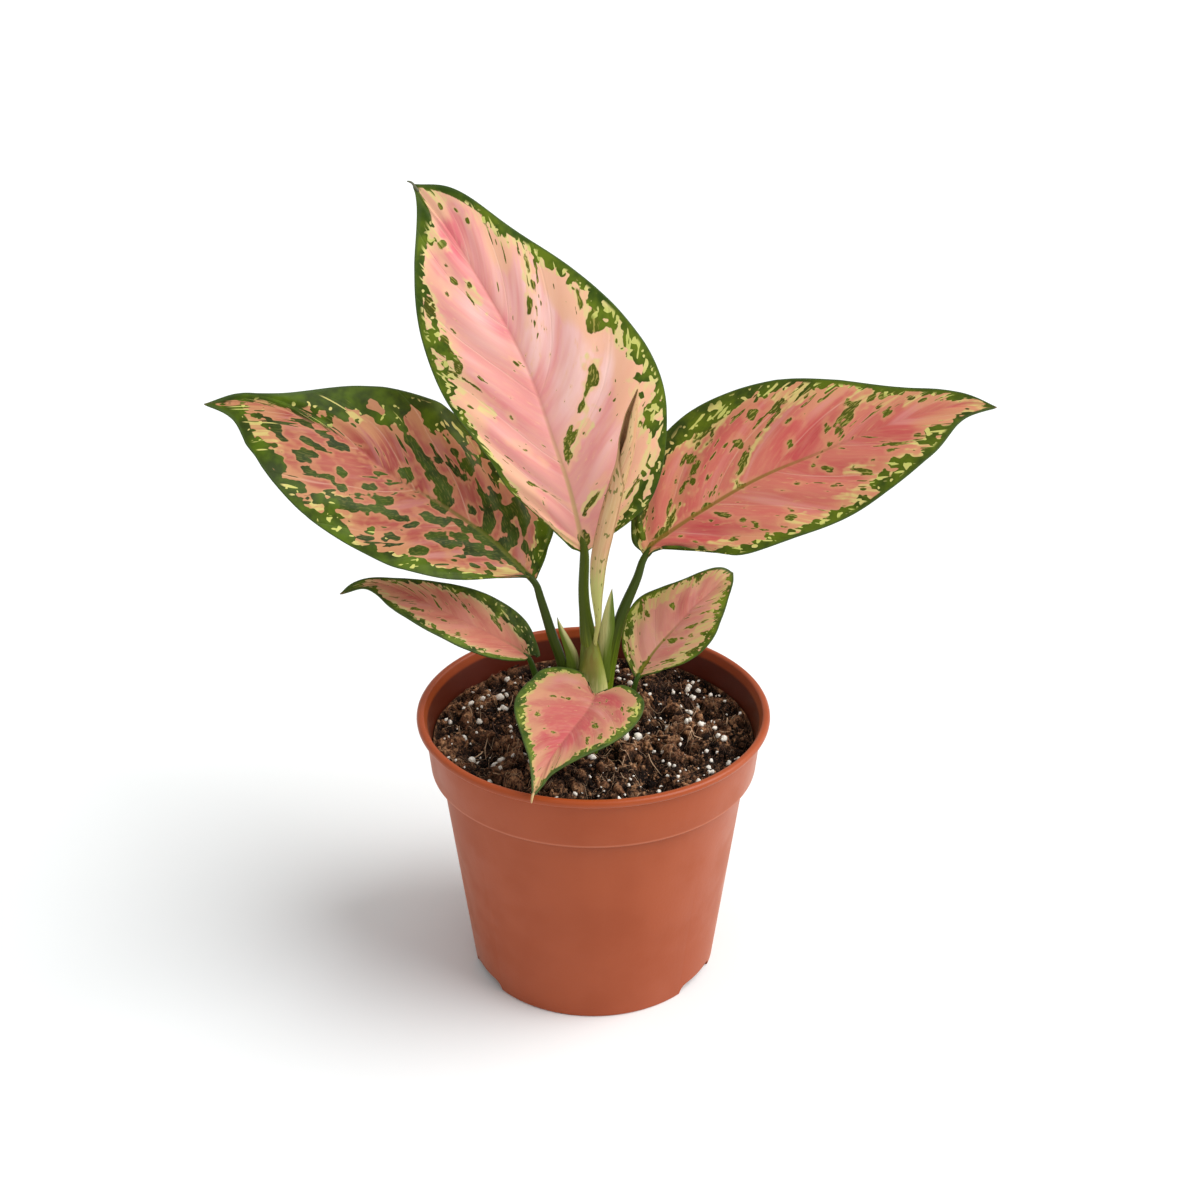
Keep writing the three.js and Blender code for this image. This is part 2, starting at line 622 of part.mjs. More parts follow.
function rolledLeaf(grow = 0) {
  const curve = smoothCurve(ROLL.path);
  const rings = [];
  for (let i = 0; i <= ROLL.steps; i += 1) {
    const share = i / ROLL.steps;
    const { along, right, front } = acrossCurve(curve, share);
    const radius = sample(ROLL.radii, share);
    const gape = grow > 0 ? 0 : sample(ROLL.gape, share);
    const edge = sample(ROLL.edge, share);
    const ring = [];
    for (let s = 0; s < ROLL.sides; s += 1) {
      const round = s / (ROLL.sides - 1);
      const angle = THREE.MathUtils.degToRad(edge + 338 * Math.min(round * 1.07, 1));
      const inside = s === ROLL.sides - 1;
      const reach = radius * (inside ? 1 - gape : 1 - 0.2 * round) + grow;
      const point = curve.getPointAt(share);
      if (share === 0 || share === 1) {
        point.addScaledVector(along, share === 0 ? -grow : grow);
      }
      point.addScaledVector(right, reach * Math.cos(angle));
      ring.push(point.addScaledVector(front, reach * Math.sin(angle)));
    }
    rings.push(ring);
  }
  return loft(rings);
}

// What the crown and the soil are cut clear of.
const roots = { leaf_rolled: rolledLeaf(CLEARANCE) };

place("leaf_rolled", rolledLeaf(), 0xd9c4a4, 0.45);

// Each leaf is one piece with its stalk and its sheath, and is cut clear of those listed before it.
for (const name of ["leaf_right", "leaf_left", "leaf_lower_left", "leaf_lower_right", "leaf_front",
  "leaf_top"]) {
  const leaf = LEAVES[name];
  const blade = new Blade(leaf);
  let solid = blade.solid().add(blade.stalk());
  let root = blade.solid(CLEARANCE).add(blade.stalk(CLEARANCE));
  if (SHEATHS[name]) {
    const sheath = new Blade(SHEATHS[name]);
    solid = solid.add(sheath.solid());
    root = root.add(sheath.solid(CLEARANCE));
  }
  if (name === "leaf_top") {
    solid = solid.subtract(roots.leaf_rolled).subtract(roots.leaf_right);
  }
  roots[name] = root;
  place(name, solid, leaf.colour, 0.35);
}

// The crown, with a groove for each stalk that leaves it.
const CROWN = {
  path: [[0, 0, 70], [0, 0.3, 88], [0, 0.9, 105], [-0.2, 0.9, 118]],
  radii: [4.6, 5.8, 5.2, 4.6],
  steps: 8,
};

const crownCurve = smoothCurve(CROWN.path);
let crown = bar({ curve: crownCurve, radii: CROWN.radii, steps: CROWN.steps });
for (const root of Object.values(roots)) {
  crown = crown.subtract(root);
}
place("crown", crown, 0x9cab62, 0.5);

roots.crown = bar({ curve: crownCurve, radii: CROWN.radii, steps: CROWN.steps, grow: CLEARANCE });
place("soil", soilSolid(Object.values(roots)), 0x3a271b, 0.95);
place("pot", potSolid(), 0xb4624a, 0.5);

export default out;
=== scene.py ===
"""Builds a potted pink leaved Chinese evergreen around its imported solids."""

import math

import bpy
import numpy as np
from mathutils import Matrix, Vector, noise


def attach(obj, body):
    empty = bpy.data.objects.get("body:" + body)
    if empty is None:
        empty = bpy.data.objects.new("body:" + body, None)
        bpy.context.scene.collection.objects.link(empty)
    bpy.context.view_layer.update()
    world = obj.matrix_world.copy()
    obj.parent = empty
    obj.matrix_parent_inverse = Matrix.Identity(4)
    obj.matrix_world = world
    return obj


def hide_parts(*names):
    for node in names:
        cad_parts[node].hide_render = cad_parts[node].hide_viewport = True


bl_info = {
    "name": "Potted Pink Chinese Evergreen",
    "version": (1, 0, 0),
    "blender": (4, 5, 0),
    "location": "3D Viewport > Sidebar > Evergreen",
    "description": "Models a young variegated Chinese evergreen in a plastic nursery pot",
    "category": "Add Mesh",
}

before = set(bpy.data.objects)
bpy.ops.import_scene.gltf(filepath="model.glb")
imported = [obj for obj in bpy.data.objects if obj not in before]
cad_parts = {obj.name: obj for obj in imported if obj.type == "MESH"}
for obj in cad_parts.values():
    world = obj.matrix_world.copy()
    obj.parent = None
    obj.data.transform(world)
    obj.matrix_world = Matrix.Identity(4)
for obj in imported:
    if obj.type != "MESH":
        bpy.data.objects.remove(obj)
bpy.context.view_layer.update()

MM = 0.001
ROOT = "root"

# Points that lie closer than this, in metres, are merged.
MERGE_GAP = 0.0004 * MM

# The UV maps count in 100 mm.
UV_SCALE = 0.01

# The photograph's camera, in metres and degrees.
CAMERA_PLACE = (0.00226, -0.5894, 0.4392)
CAMERA_PITCH = 63.0
CAMERA_LENS = 60.0
CAMERA_SENSOR = 36.0

FLOOR_COLOUR = (0.925, 0.95, 0.952, 1)

# The soft light stands on the right, turned a little towards the viewer.
KEY_TURN = math.radians(-12)

# A weak warm light stands lower on the right, turned a little behind the plant.
RIM_TURN = math.radians(16)
RIM_HEIGHT = math.radians(22)
RIM_SOFTNESS = math.radians(60)
RIM_COLOUR = (1.0, 0.93, 0.84)


# Selecting, modifiers and meshes.


def deselect():
    """Leaves edit mode and clears the selection."""
    if bpy.context.object and bpy.context.object.mode != "OBJECT":
        bpy.ops.object.mode_set(mode="OBJECT")
    bpy.ops.object.select_all(action="DESELECT")


def activate(piece):
    """Makes a piece the only selected and the active object."""
    deselect()
    piece.select_set(True)
    bpy.context.view_layer.objects.active = piece


def named(piece, name):
    """Names an object and its mesh."""
    piece.name = name
    piece.data.name = name
    return piece


def edit(piece, *steps):
    """Runs mesh operators on the whole piece in edit mode."""
    activate(piece)
    bpy.ops.object.mode_set(mode="EDIT")
    bpy.ops.mesh.select_all(action="SELECT")
    for operator, options in steps:
        operator(**options)
    bpy.ops.object.mode_set(mode="OBJECT")


def apply_modifier(piece, kind, **settings):
    """Adds a modifier with these settings and applies it."""
    activate(piece)
    modifier = piece.modifiers.new(kind.title(), kind)
    for key, value in settings.items():
        setattr(modifier, key, value)
    bpy.ops.object.modifier_apply(modifier=modifier.name)


def points_of(piece):
    """The piece's vertices as an array in mm."""
    flat = np.empty(len(piece.data.vertices) * 3)
    piece.data.vertices.foreach_get("co", flat)
    return flat.reshape(-1, 3) / MM


def set_points(piece, points):
    """Puts the piece's vertices at these places in mm."""
    piece.data.vertices.foreach_set("co", (np.asarray(points) * MM).ravel())
    piece.data.update()


def set_attribute(piece, name, values):
    """Stores one number for each vertex."""
    attribute = piece.data.attributes.new(name, "FLOAT", "POINT")
    attribute.data.foreach_set("value", np.asarray(values, dtype=np.float32))


def set_uv(piece, name, across, along):
    """Stores a UV map from one pair of numbers for each vertex."""
    layer = piece.data.uv_layers.new(name=name)
    corners = np.empty(len(piece.data.loops), dtype=np.int32)
    piece.data.loops.foreach_get("vertex_index", corners)
    pairs = np.stack([across, along], axis=-1)[corners]
    layer.data.foreach_set("uv", pairs.ravel())


def grid_piece(name, columns, rows, place):
    """A grid primitive whose points place(u, v) lays out in mm, with u and v from 0 to 1."""
    deselect()
    bpy.ops.mesh.primitive_grid_add(x_subdivisions=columns, y_subdivisions=rows, size=1)
    piece = named(bpy.context.object, name)
    flat = points_of(piece) * MM
    u = np.clip(flat[:, 0] + 0.5, 0, 1)
    v = np.clip(flat[:, 1] + 0.5, 0, 1)
    set_points(piece, place(u, v))
    while piece.data.uv_layers:
        piece.data.uv_layers.remove(piece.data.uv_layers[0])
    return piece, u, v


def close_seams(piece):
    """Merges the points that meet at seams and poles, and turns the faces outwards."""
    edit(
        piece,
        (bpy.ops.mesh.remove_doubles, {"threshold": MERGE_GAP}),
        (bpy.ops.mesh.normals_make_consistent, {"inside": False}),
    )


def smooth(piece, angle=180.0):
    """Shades a piece smooth, except at edges sharper than the angle in degrees."""
    activate(piece)
    if angle >= 180:
        bpy.ops.object.shade_smooth()
    else:
        bpy.ops.object.shade_smooth_by_angle(angle=math.radians(angle))


def thicken(piece, thickness, **settings):
    """Gives a sheet its thickness in mm behind its face."""
    edit(piece, (bpy.ops.mesh.remove_doubles, {"threshold": MERGE_GAP}))
    apply_modifier(piece, "SOLIDIFY", thickness=thickness * MM, offset=-1, **settings)
    smooth(piece)
    return piece


def linked(name, data):
    """A new object of this data in the scene."""
    piece = bpy.data.objects.new(name, data)
    bpy.context.scene.collection.objects.link(piece)
    return piece


def mesh_piece(name, points, faces):
    """A piece of these points in mm and these faces."""
    mesh = bpy.data.meshes.new(name)
    mesh.from_pydata((np.asarray(points) * MM).tolist(), [], faces)
    return linked(name, mesh)


def join(name, *pieces):
    """Joins pieces into the first one."""
    activate(pieces[0])
    for piece in pieces[1:]:
        piece.select_set(True)
    bpy.ops.object.join()
    return named(bpy.context.object, name)


def dress(piece, *materials):
    """Gives a piece its materials."""
    for material in materials:
        piece.data.materials.append(material)
    return piece


def finish_piece(piece, slot, *materials, replaces=None):
    """Gives a piece its materials, hangs it from the root body and hides the solid that it replaces."""
    dress(piece, *materials)
    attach(piece, ROOT)
    if replaces:
        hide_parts(replaces)


# Curves and rows of numbers.


def lerp_row(values, share):
    """Reads a row of numbers or directions, spread evenly from 0 to 1."""
    values = np.asarray(values, dtype=float)
    place = np.clip(share, 0, 1) * (len(values) - 1)
    first = np.minimum(place.astype(int), len(values) - 2)
    part = place - first
    if values.ndim == 2:
        part = part[..., None]
    return values[first] * (1 - part) + values[first + 1] * part


def spline(points, share):
    """A uniform Catmull-Rom curve through the points, with its ends run on."""
    points = np.asarray(points, dtype=float)
    if points.ndim == 1:
        points = points[:, None]
    count = len(points) - 1
    place = np.clip(share, 0, 1) * count
    first = np.minimum(place.astype(int), count - 1)
    u = (place - first)[..., None]
    run = np.vstack([2 * points[0] - points[1], points, 2 * points[-1] - points[-2]])
    a, b, c, d = run[first], run[first + 1], run[first + 2], run[first + 3]
    return 0.5 * (
        2 * b + (c - a) * u + (2 * a - 5 * b + 4 * c - d) * u**2 + (3 * b - a - 3 * c + d) * u**3
    )


def smooth_step(low, high, value):
    """Rises smoothly from 0 at low to 1 at high."""
    part = np.clip((value - low) / (high - low), 0, 1)
    return part * part * (3 - 2 * part)


def unit(vectors):
    """Vectors of length 1."""
    return vectors / np.linalg.norm(vectors, axis=-1, keepdims=True)


class Path:
    """A smooth path through points in mm, read by the distance along it."""

    STEPS = 40
    REACH = 0.4

    def __init__(self, points):
        shares = np.linspace(0, 1, self.STEPS * (len(points) - 1) + 1)
        self.places = spline(points, shares)
        steps = np.linalg.norm(np.diff(self.places, axis=0), axis=1)
        self.distances = np.concatenate([[0], np.cumsum(steps)])
        self.length = self.distances[-1]

    def point(self, distance):
        columns = [np.interp(distance, self.distances, self.places[:, i]) for i in range(3)]
        return np.stack(columns, axis=-1)

    def along(self, distance):
        near = np.clip(distance, self.REACH, self.length - self.REACH)
        return unit(self.point(near + self.REACH) - self.point(near - self.REACH))

    def around(self, distance, angle, radius):
        """Points round the path, with the angle in radians from +X."""
        along = self.along(distance)
        right = unit(np.array([1.0, 0, 0]) - along * along[:, :1])
        front = np.cross(along, right)
        side = right * np.cos(angle)[:, None] + front * np.sin(angle)[:, None]
        return self.point(distance) + side * radius[:, None]


def tube(name, path, radii, sides=20, steps=60, wobble=None):
    """A closed round bar of changing radius along a path, its ends drawn in to a point."""
    line = Path(path)
    end = 0.02

    def place(u, v):
        body = np.clip((v - end) / (1 - 2 * end), 0, 1)
        radius = lerp_row(radii, body)
        if wobble:
            radius = radius * wobble(u, body)
        radius = radius * np.sqrt(np.clip(np.minimum(v, 1 - v) / end, 0, 1))
        return line.around(body * line.length, 2 * math.pi * u, radius)

    piece, u, v = grid_piece(name, sides, steps, place)
    set_uv(piece, "blade", u, v * line.length * UV_SCALE)
    close_seams(piece)
    smooth(piece)
    return piece


# The leaves, in mm. VEIN_ROOTS says where on the midrib the side vein to each outline point starts, as
# a share of the midrib's length.
VEIN_ROOTS = [0, 0.015, 0.05, 0.15, 0.31, 0.49, 0.67, 0.84, 1]
VEIN_BEND = 1.3
QUILT_COUNT = 8
QUILT_HEIGHT = 0.62
MIDRIB_SINK = 0.2
MIDRIB_WIDTH = 0.9
BLADE_THICKNESS = 0.5
THREAD_RADII = [0.34, 0.44, 0.42, 0.36, 0.2]

# How much further towards the tip the finer veins run than the outlines' points, at the margin.
VEIN_SWEEP = 0.14

# Past this share of its length a blade's tip is green.
TIP_GREEN = 0.985

# What a field of patches holds far from any patch, and the most that the margin's field holds.
FAR_OUT = -9.0
MARGIN_REACH = 12

# How much closer columns lie at the margins and the midrib than between them.
COLUMN_SWAY = 0.25

# The midrib's ridge under a blade: its radius at the stalk and how much is left of it at the tip, how
# deep it is let into the blade, and the share of the midrib along which it runs.
RIDGE_RADIUS = 0.95
RIDGE_END = 0.1
RIDGE_GAP = 0.15
RIDGE_RUN = (0.05, 0.97)

# Where on the midrib the threads start, as shares of its length.
THREAD_START = (0.975, 0.99)

# The first rows repeat the solids': the stalk, the midrib from the blade's base to its tip, and half
# outlines as the distance along the midrib, as a share of its length, and the half width. `face` is
# where the upper side looks, `fold` how many degrees each half rises, `cup` how many degrees a mm of it
# bends back, and `wave` how high and how often a half's margin waves, and where each half starts.
# The pattern is in percent of the length and the half width. `margins` gives, for each half, how far
# out the green margin starts, from the base to the tip. `flecks` are green patches on the pink,
# `islands` pink ones on the green, `creams` where the pink turns to cream, `peaches` where it turns to
# peach, `blush` where it deepens and `pales` where it pales as painted sheen: how far along and across
# each patch lies, its half length across, its half width along, and its tilt where it has one.
# `grid` is the number of columns across and of rows along.
LEAVES = {
    "leaf_top": {
        "stalk": [
            (0.4, 0.6, 104), (-0.6, 1, 116), (-2.3, 2.6, 129), (-3.2, 4.4, 140), (-2.9, 5.6, 154),
            (-4.2, 7.2, 161),
        ],
        "stalk_radii": [2, 2, 2.3, 2.7, 2.9, 2.5, 2, 1.85, 1.75, 1.7, 1.6, 1.3, 0.9],
        "path": [
            (-2.9, 5.4, 154), (-7.4, 9, 174), (-12.4, 12.5, 189), (-19, 17.5, 208), (-25.6, 22, 222),
            (-36.5, 29, 239.5), (-46.6, 36, 254), (-58, 44.5, 266.5),
        ],
        "thread": [(-58.1, 44.6, 266.6), (-58.9, 44.8, 267), (-59.9, 44.9, 267.2)],
        "face": [(0.02, -0.96, 0.28), (0.05, -0.94, 0.34), (0.1, -0.9, 0.42)],
        "fold": [13, 14, 8],
        "cup": [0.4, 0.55, 0.7],
        "left": [
            (0, 1.2), (0.04, 6), (0.19, 18), (0.29, 21.5), (0.48, 28.5), (0.66, 26), (0.82, 16),
            (0.95, 3.5), (1, 0),
        ],
        "right": [
            (0, 1.2), (0.06, 18), (0.12, 27.5), (0.25, 37.5), (0.41, 39), (0.62, 28), (0.79, 17),
            (0.93, 9), (1, 0),
        ],
        "wave": (1.2, 3, 0.1, 0.6),
        "margins": (
            [90, 90, 88, 88, 88, 90, 80, 86, 88, 66, 0],
            [60, 50, 55, 70, 76, 84, 87, 90, 88, 97, 97],
        ),
        "flecks": [
            (82.5, -55, 9, 0.6, 0.1), (78.4, -56, 4, 0.5, -0.05), (76, -49, 5, 0.6),
            (73.5, -33, 3, 0.8, -0.3), (76.5, -26, 4, 0.4, 0.1), (72.8, -63, 2, 0.4),
            (66, -66, 3, 0.5, -0.1), (62.5, -12, 2, 0.4, -0.1), (51.5, -37, 3.5, 0.8), (50.5, -77, 2, 0.3),
            (48.6, -75, 2, 0.3), (45.4, -40, 5.5, 0.5), (44, -22, 2, 0.3), (36.5, -42, 12, 0.3, -0.06),
            (37, -56, 3, 0.4), (31.5, -48, 2, 1), (69, -86, 7, 2), (64, -78, 5, 1.2, 0.1), (62, -79, 5, 1),
            (59, -74, 5, 1.4, 0.1), (57, -82, 6, 1), (56, -66, 8, 0.5, -0.15), (91.7, 40, 6, 0.4),
            (87, 61, 3.5, 0.8), (84, 60, 3, 0.3), (81.5, 74, 3, 0.3), (67.2, 40, 8, 0.5, 0.03),
            (68, 62, 5, 0.7, 0.05), (70, 74, 11, 0.3, 0.1), (55.5, 67, 2, 0.3), (57.7, 80, 11, 0.8, 0.03),
            (60.5, 83, 5, 0.5, 0.1), (62.3, 72, 2, 0.3), (53.5, 52, 5, 1.3, 0.05), (53, 44, 6, 0.4, 0.15),
            (50.8, 30, 5, 0.6, 0.15), (48.9, 18, 8, 0.5, 0.15), (47, 15, 5, 0.6, 0.1), (46.7, 26, 2, 0.4),
            (45.3, 7.5, 4, 1.6, 0.2), (33.2, 16, 8, 0.8, 0.15), (31.2, 8, 3, 0.8), (37, 26, 3, 0.3),
            (30, 60, 6, 0.8, 0.2), (31.2, 67, 4, 0.6), (17, 2, 12, 9), (30, -99, 10, 22),
        ],
        "islands": [
            (60, -90, 5, 2), (66, -90, 4, 2), (37, 66, 16, 4.5, -0.1), (87, -20, 46, 8), (88, 50, 42, 7),
            (76, -70, 16, 5), (61, 89, 6, 1.8, 0.05), (55.5, 88, 3.5, 1), (50, 86, 3, 1),
            (45, 86, 3.5, 2.2), (40, 89, 2.5, 2), (35, 84, 4, 2.2), (29, 85, 3.5, 1.8),
            (69, 89, 4, 1.4, 0.05),
        ],
        "peaches": [
            (36, 64, 42, 20), (12, 10, 90, 10), (27, -72, 34, 13), (93, 35, 60, 3.5), (62, 75, 20, 5),
            (52, -75, 20, 5), (74, -20, 25, 2), (76, 62, 24, 3),
        ],
        "creams": [
            (62, -86, 14, 10), (83, -88, 22, 1.2), (74.5, -22, 10, 2, -0.1), (50.5, -60, 5, 1),
            (47, 20, 16, 2.2, 0.15), (53.5, 50, 12, 1.4, 0.1), (33, 16, 13, 2, 0.1), (60, 88, 12, 3, 0.05),
            (43, 85, 14, 7), (36, 90, 10, 6), (74, 93, 7, 5), (69, 66, 14, 1.2, 0.1), (16, -50, 50, 5),
            (30, 65, 20, 5, 0.1), (93, 75, 30, 3), (70, -92, 8, 4),
        ],
        "blush": [(87, 10, 55, 3.5), (84, -30, 30, 3), (70, -10, 20, 3)],
        # Painted sheen on the tall leaf: pale patches where its right half and its left half catch the
        # light.
        "pales": [(60, 50, 60, 20), (70, -30, 30, 7)],
        "grid": (116, 190),
    },
    "leaf_left": {
        "stalk": [
            (-7, 3, 78), (-8.4, 3, 92), (-10.4, 3, 112), (-13.8, 3.2, 124), (-17.4, 4, 137),
            (-19.3, 4.8, 142.8), (-23.6, 6.2, 147.2),
        ],
        "stalk_radii": [1.9, 2, 2, 1.8, 1.7, 1.4, 0.9],
        "path": [
            (-19.4, 5, 143.5), (-24.2, 6.5, 148), (-35, 9, 158), (-50, 11.5, 168.3), (-65.5, 13.5, 177.3),
            (-79.4, 15, 188.8), (-98, 16.5, 198.6), (-111, 16.5, 202), (-125.7, 15, 202.5),
        ],
        "face": [(0.3, -0.66, 0.69), (0.3, -0.67, 0.68), (0.3, -0.6, 0.75)],
        "fold": [9, 14, 8],
        "cup": [0.5, 0.7, 0.7],
        "left": [
            (0, 1.2), (0.03, 1.7), (0.15, 18.5), (0.3, 27), (0.43, 29), (0.64, 30.5), (0.85, 18.5),
            (0.93, 6), (1, 0),
        ],
        "right": [
            (0, 1.2), (0.03, 10.5), (0.09, 23), (0.28, 27), (0.48, 31), (0.65, 20), (0.81, 5.5),
            (0.93, 2.7), (1, 0),
        ],
        "wave": (1, 3, 0.3, 0.8),
        "margins": (
            [0, 20, 50, 70, 78, 78, 72, 84, 65, 35, 0],
            [0, 0, 20, 68, 72, 70, 60, 50, 60, 50, 0],
        ),
        "flecks": [
            (79.5, 20, 41.8, 1.6, -0.03), (72.5, 35, 22, 1.4, -0.08), (68.5, 9, 5.5, 1.3, -0.1),
            (58, 8, 9.4, 1.2), (50, 10, 15.4, 1.9, 0.05), (52.5, 27, 14.3, 1.9, 0.12),
            (55.5, 44, 9.9, 1.6, 0.15), (51.5, 43, 6.6, 1.3), (47, 40, 5.5, 1.3, -0.1),
            (47.5, 56, 5.5, 1.2), (45.5, 50, 13.2, 0.9, -0.15), (44, 16, 3.9, 0.7), (40, 17, 14.3, 2),
            (40.8, 36, 13.2, 1.3), (39.3, 43, 8.8, 1.6, -0.05), (36, 25, 24.2, 1.2, 0.03),
            (33.5, 20, 22, 1.7), (34.5, 45, 16.5, 1.4, -0.05), (28, 25, 9.9, 1.9, 0.12), (32, 56, 16.5, 2),
            (82, -50, 7.7, 4.3, 0.2), (77, -56, 5.5, 2.9), (79, -13, 5.5, 2.6), (73.5, -12, 6.6, 4.1),
            (71.5, -18, 5.5, 2, 0.1), (73, -35, 5.5, 2.6, -0.35), (75, -40, 5.5, 1.2),
            (71, -60, 5.5, 1.7, -0.15), (70.5, -50, 5.5, 1.3, -0.1), (67.5, -65, 3.9, 0.9, -0.15),
            (65, -54, 2.2, 0.6), (65.7, -40, 2.8, 0.6), (63, -52, 5.5, 1.2, -0.15), (60.9, -30, 5.5, 0.6),
            (57.5, -30, 9.9, 1.6, -0.02), (59, -62, 11, 2), (54.5, -42, 7.7, 2.5, -0.1),
            (51, -45, 7.7, 0.9), (51, -70, 11, 1.2), (49, -20, 7.7, 2.6, -0.15), (44.5, -43, 7.7, 2.9),
            (42.5, -25, 4.4, 1.7), (41, -35, 3.3, 1.4, -0.3), (44, -68, 8.8, 1.7), (37.5, -28, 12.1, 2.9),
            (37, -45, 5.5, 1.3, -0.1), (36, -57, 5.5, 1.2), (33, -18, 5.5, 2.9), (31, -36, 2.2, 1.4),
            (32.5, -50, 1.7, 2.9), (31, -4, 6.6, 18.9), (46, -8, 3.3, 8.7),
        ],
        "islands": [
            (80, -73, 13, 6), (53.5, -60, 15, 1.6, -0.08), (53, -79, 5, 2.5), (62, -87, 4, 1.8),
            (54.5, 62, 16, 3.2, 0.1), (62, 75, 6, 1.3), (42, 70, 13, 1.5), (37, 50, 10, 1),
            (28.5, 40, 30, 1.6, 0.03), (66, 61, 5, 1.2), (77, 76, 6, 1.2, 0.2), (86, 40, 35, 2, -0.03),
        ],
        "creams": [
            (80, -78, 14, 7), (60, -75, 20, 3), (30, -72, 12, 4), (35, -82, 5, 3), (26, -30, 30, 3),
            (66, 60, 10, 3), (83, 55, 25, 4, -0.05), (33.5, 35, 20, 1.2), (25, 40, 30, 2, 0.05),
            (44, -74, 5, 2), (77, 72, 10, 2, 0.2), (32, 6, 6, 2),
        ],
        "blush": [(62, 5, 30, 8), (60, -20, 20, 4), (83, -10, 30, 2)],
        "grid": (104, 190),
    },
    "leaf_right": {
        "stalk": [
            (3, 1.4, 92), (4.2, 1.6, 103), (5.6, 2, 114), (8.9, 2.2, 130.4), (14.4, 3.2, 145),
            (16.8, 4, 152.4), (20.6, 5.6, 157),
        ],
        "stalk_radii": [2, 2.2, 2.2, 2, 1.8, 1.4, 0.9],
        "path": [
            (17, 4, 153.3), (21, 5.5, 158), (40.6, 10.5, 169.8), (56.4, 13.5, 178), (72.1, 15.5, 184.2),
            (87.8, 17, 190.8), (103.3, 18, 196.6), (118.8, 18, 200.6), (130.8, 16, 201),
        ],
        "face": [(-0.3, -0.6, 0.74), (-0.3, -0.64, 0.7), (-0.3, -0.6, 0.75)],
        "fold": [9, 14, 8],
        "cup": [0.5, 0.7, 0.7],
        "left": [
            (0, 1.2), (0.04, 13), (0.1, 24), (0.29, 35), (0.49, 31), (0.64, 21.5), (0.77, 12), (0.87, 6.5),
            (1, 0),
        ],
        "right": [
            (0, 1.2), (0.08, 6), (0.15, 15.5), (0.24, 24), (0.45, 26.5), (0.63, 24), (0.8, 16.5),
            (0.9, 6.5), (1, 0),
        ],
        "wave": (1, 3, 0.5, 0.1),
        "margins": (
            [0, 0, 20, 60, 74, 86, 92, 97, 95, 75, 30],
            [10, 20, 40, 65, 86, 90, 86, 76, 70, 60, 30],
        ),
        "flecks": [
            (76, -90, 10, 2), (74, -82, 8, 1), (72, -74, 6, 0.5), (83.5, -50, 11, 0.6, -0.12),
            (81, -70, 7, 0.9, 0.05), (77.2, -43, 7, 0.4, 0.03), (74.3, -56, 4, 0.4), (69.2, -62, 13, 0.7),
            (69.5, -36, 10, 0.3, -0.03), (68, -48, 13, 0.5), (66.7, -66, 3, 0.3),
            (64.5, -80, 4, 0.4, -0.05), (65.7, -30, 5, 0.3, 0.05), (60.5, -50, 3, 0.3), (60, -60, 3, 0.3),
            (59, -30, 3, 0.3), (57, -54, 1.5, 0.3), (54, -76, 9, 1.4, -0.1), (53, -57, 3, 0.7),
            (50.7, -33, 12, 0.5, -0.06), (49, -68, 4.5, 0.8, 0.1), (48.7, -45, 4, 0.6, 0.1),
            (41, -70, 10, 1.4), (43, -85, 10, 1.2, 0.05), (43, -65, 5, 0.8), (39.5, -52, 5, 0.5),
            (37.5, -53, 9, 0.5, -0.15), (38, -32, 7, 0.9, -0.25), (40, -33, 5, 0.5),
            (33, -10, 9, 1.4, -0.3), (36, -17, 5, 0.5, -0.2), (34, -27, 10, 0.4, -0.2),
            (43, 25, 8, 0.7, 0.02), (54, 35, 2.5, 0.5), (57, 33, 3, 0.6), (63.2, 35, 5, 0.4),
            (60, 58, 3.5, 0.7), (66.5, 46, 3, 1), (69, 55, 4, 0.7, -0.1), (66, 60, 8, 0.5),
            (72.5, 56, 3, 0.5), (74.5, 49, 5, 0.4), (79, 58, 5, 1), (83, 68, 3, 1.6), (49, 72, 5, 1.3),
            (51, 65, 4, 0.4), (39, 66, 6, 1.1), (44, 50, 6, 0.4), (35.5, 60, 3, 0.5), (32, 20, 2, 0.4),
            (32, 45, 3, 0.4), (65, 4, 5, 0.3, -0.2), (27, -5, 5, 3), (22, 0, 3, 16),
        ],
        "islands": [
            (24, -25, 20, 3), (57, -93, 5, 1), (69, 85, 4, 1), (75, 84, 5, 1.8), (80, 83, 4, 0.8),
            (62, 95, 3, 0.8), (86, 77, 5, 2), (62, 84, 4, 1.2),
        ],
        "creams": [
            (41, -80, 22, 5), (55, -86, 16, 4), (74, -78, 20, 3), (69, -70, 20, 1.5), (82, -60, 20, 1.4),
            (50.5, -20, 22, 0.6, -0.08), (66, 53, 12, 2), (62, 84, 10, 5), (80, 72, 8, 5), (50, 80, 12, 3),
            (36, 66, 12, 3), (92, 75, 20, 3), (98, 0, 120, 3.5), (92, -70, 30, 2), (33, -10, 12, 3, -0.3),
        ],
        "blush": [(80, 10, 50, 5), (36, 35, 20, 5), (60, -30, 30, 5)],
        "grid": (104, 190),
    },
    "leaf_lower_left": {
        "stalk": [
            (-11, 7.4, 76), (-15, 8, 90), (-18.4, 8.2, 101), (-20.4, 8.2, 108), (-22, 8, 112.6),
            (-26, 7.8, 116),
        ],
        "stalk_radii": [1.5, 1.5, 1.4, 1.3, 1, 0.7],
        "path": [
            (-22, 8, 113.4), (-29, 7.5, 118.8), (-41, 7, 126), (-52, 6.5, 132.3), (-65, 6, 140),
            (-74, 5, 142.4), (-84.2, 3, 139.8),
        ],
        "face": [(0.15, -0.45, 0.88), (0.2, -0.45, 0.88), (0.2, -0.4, 0.9)],
        "fold": [18, 14, 8],
        "cup": [0.6, 0.8, 0.8],
        "left": [
            (0, 1), (0.03, 4), (0.14, 9), (0.3, 11.5), (0.44, 12), (0.62, 11), (0.75, 8.5), (0.88, 1.6),
            (1, 0),
        ],
        "right": [
            (0, 1), (-0.05, 3), (0.09, 10.5), (0.27, 12.5), (0.44, 11.5), (0.57, 9), (0.77, 3),
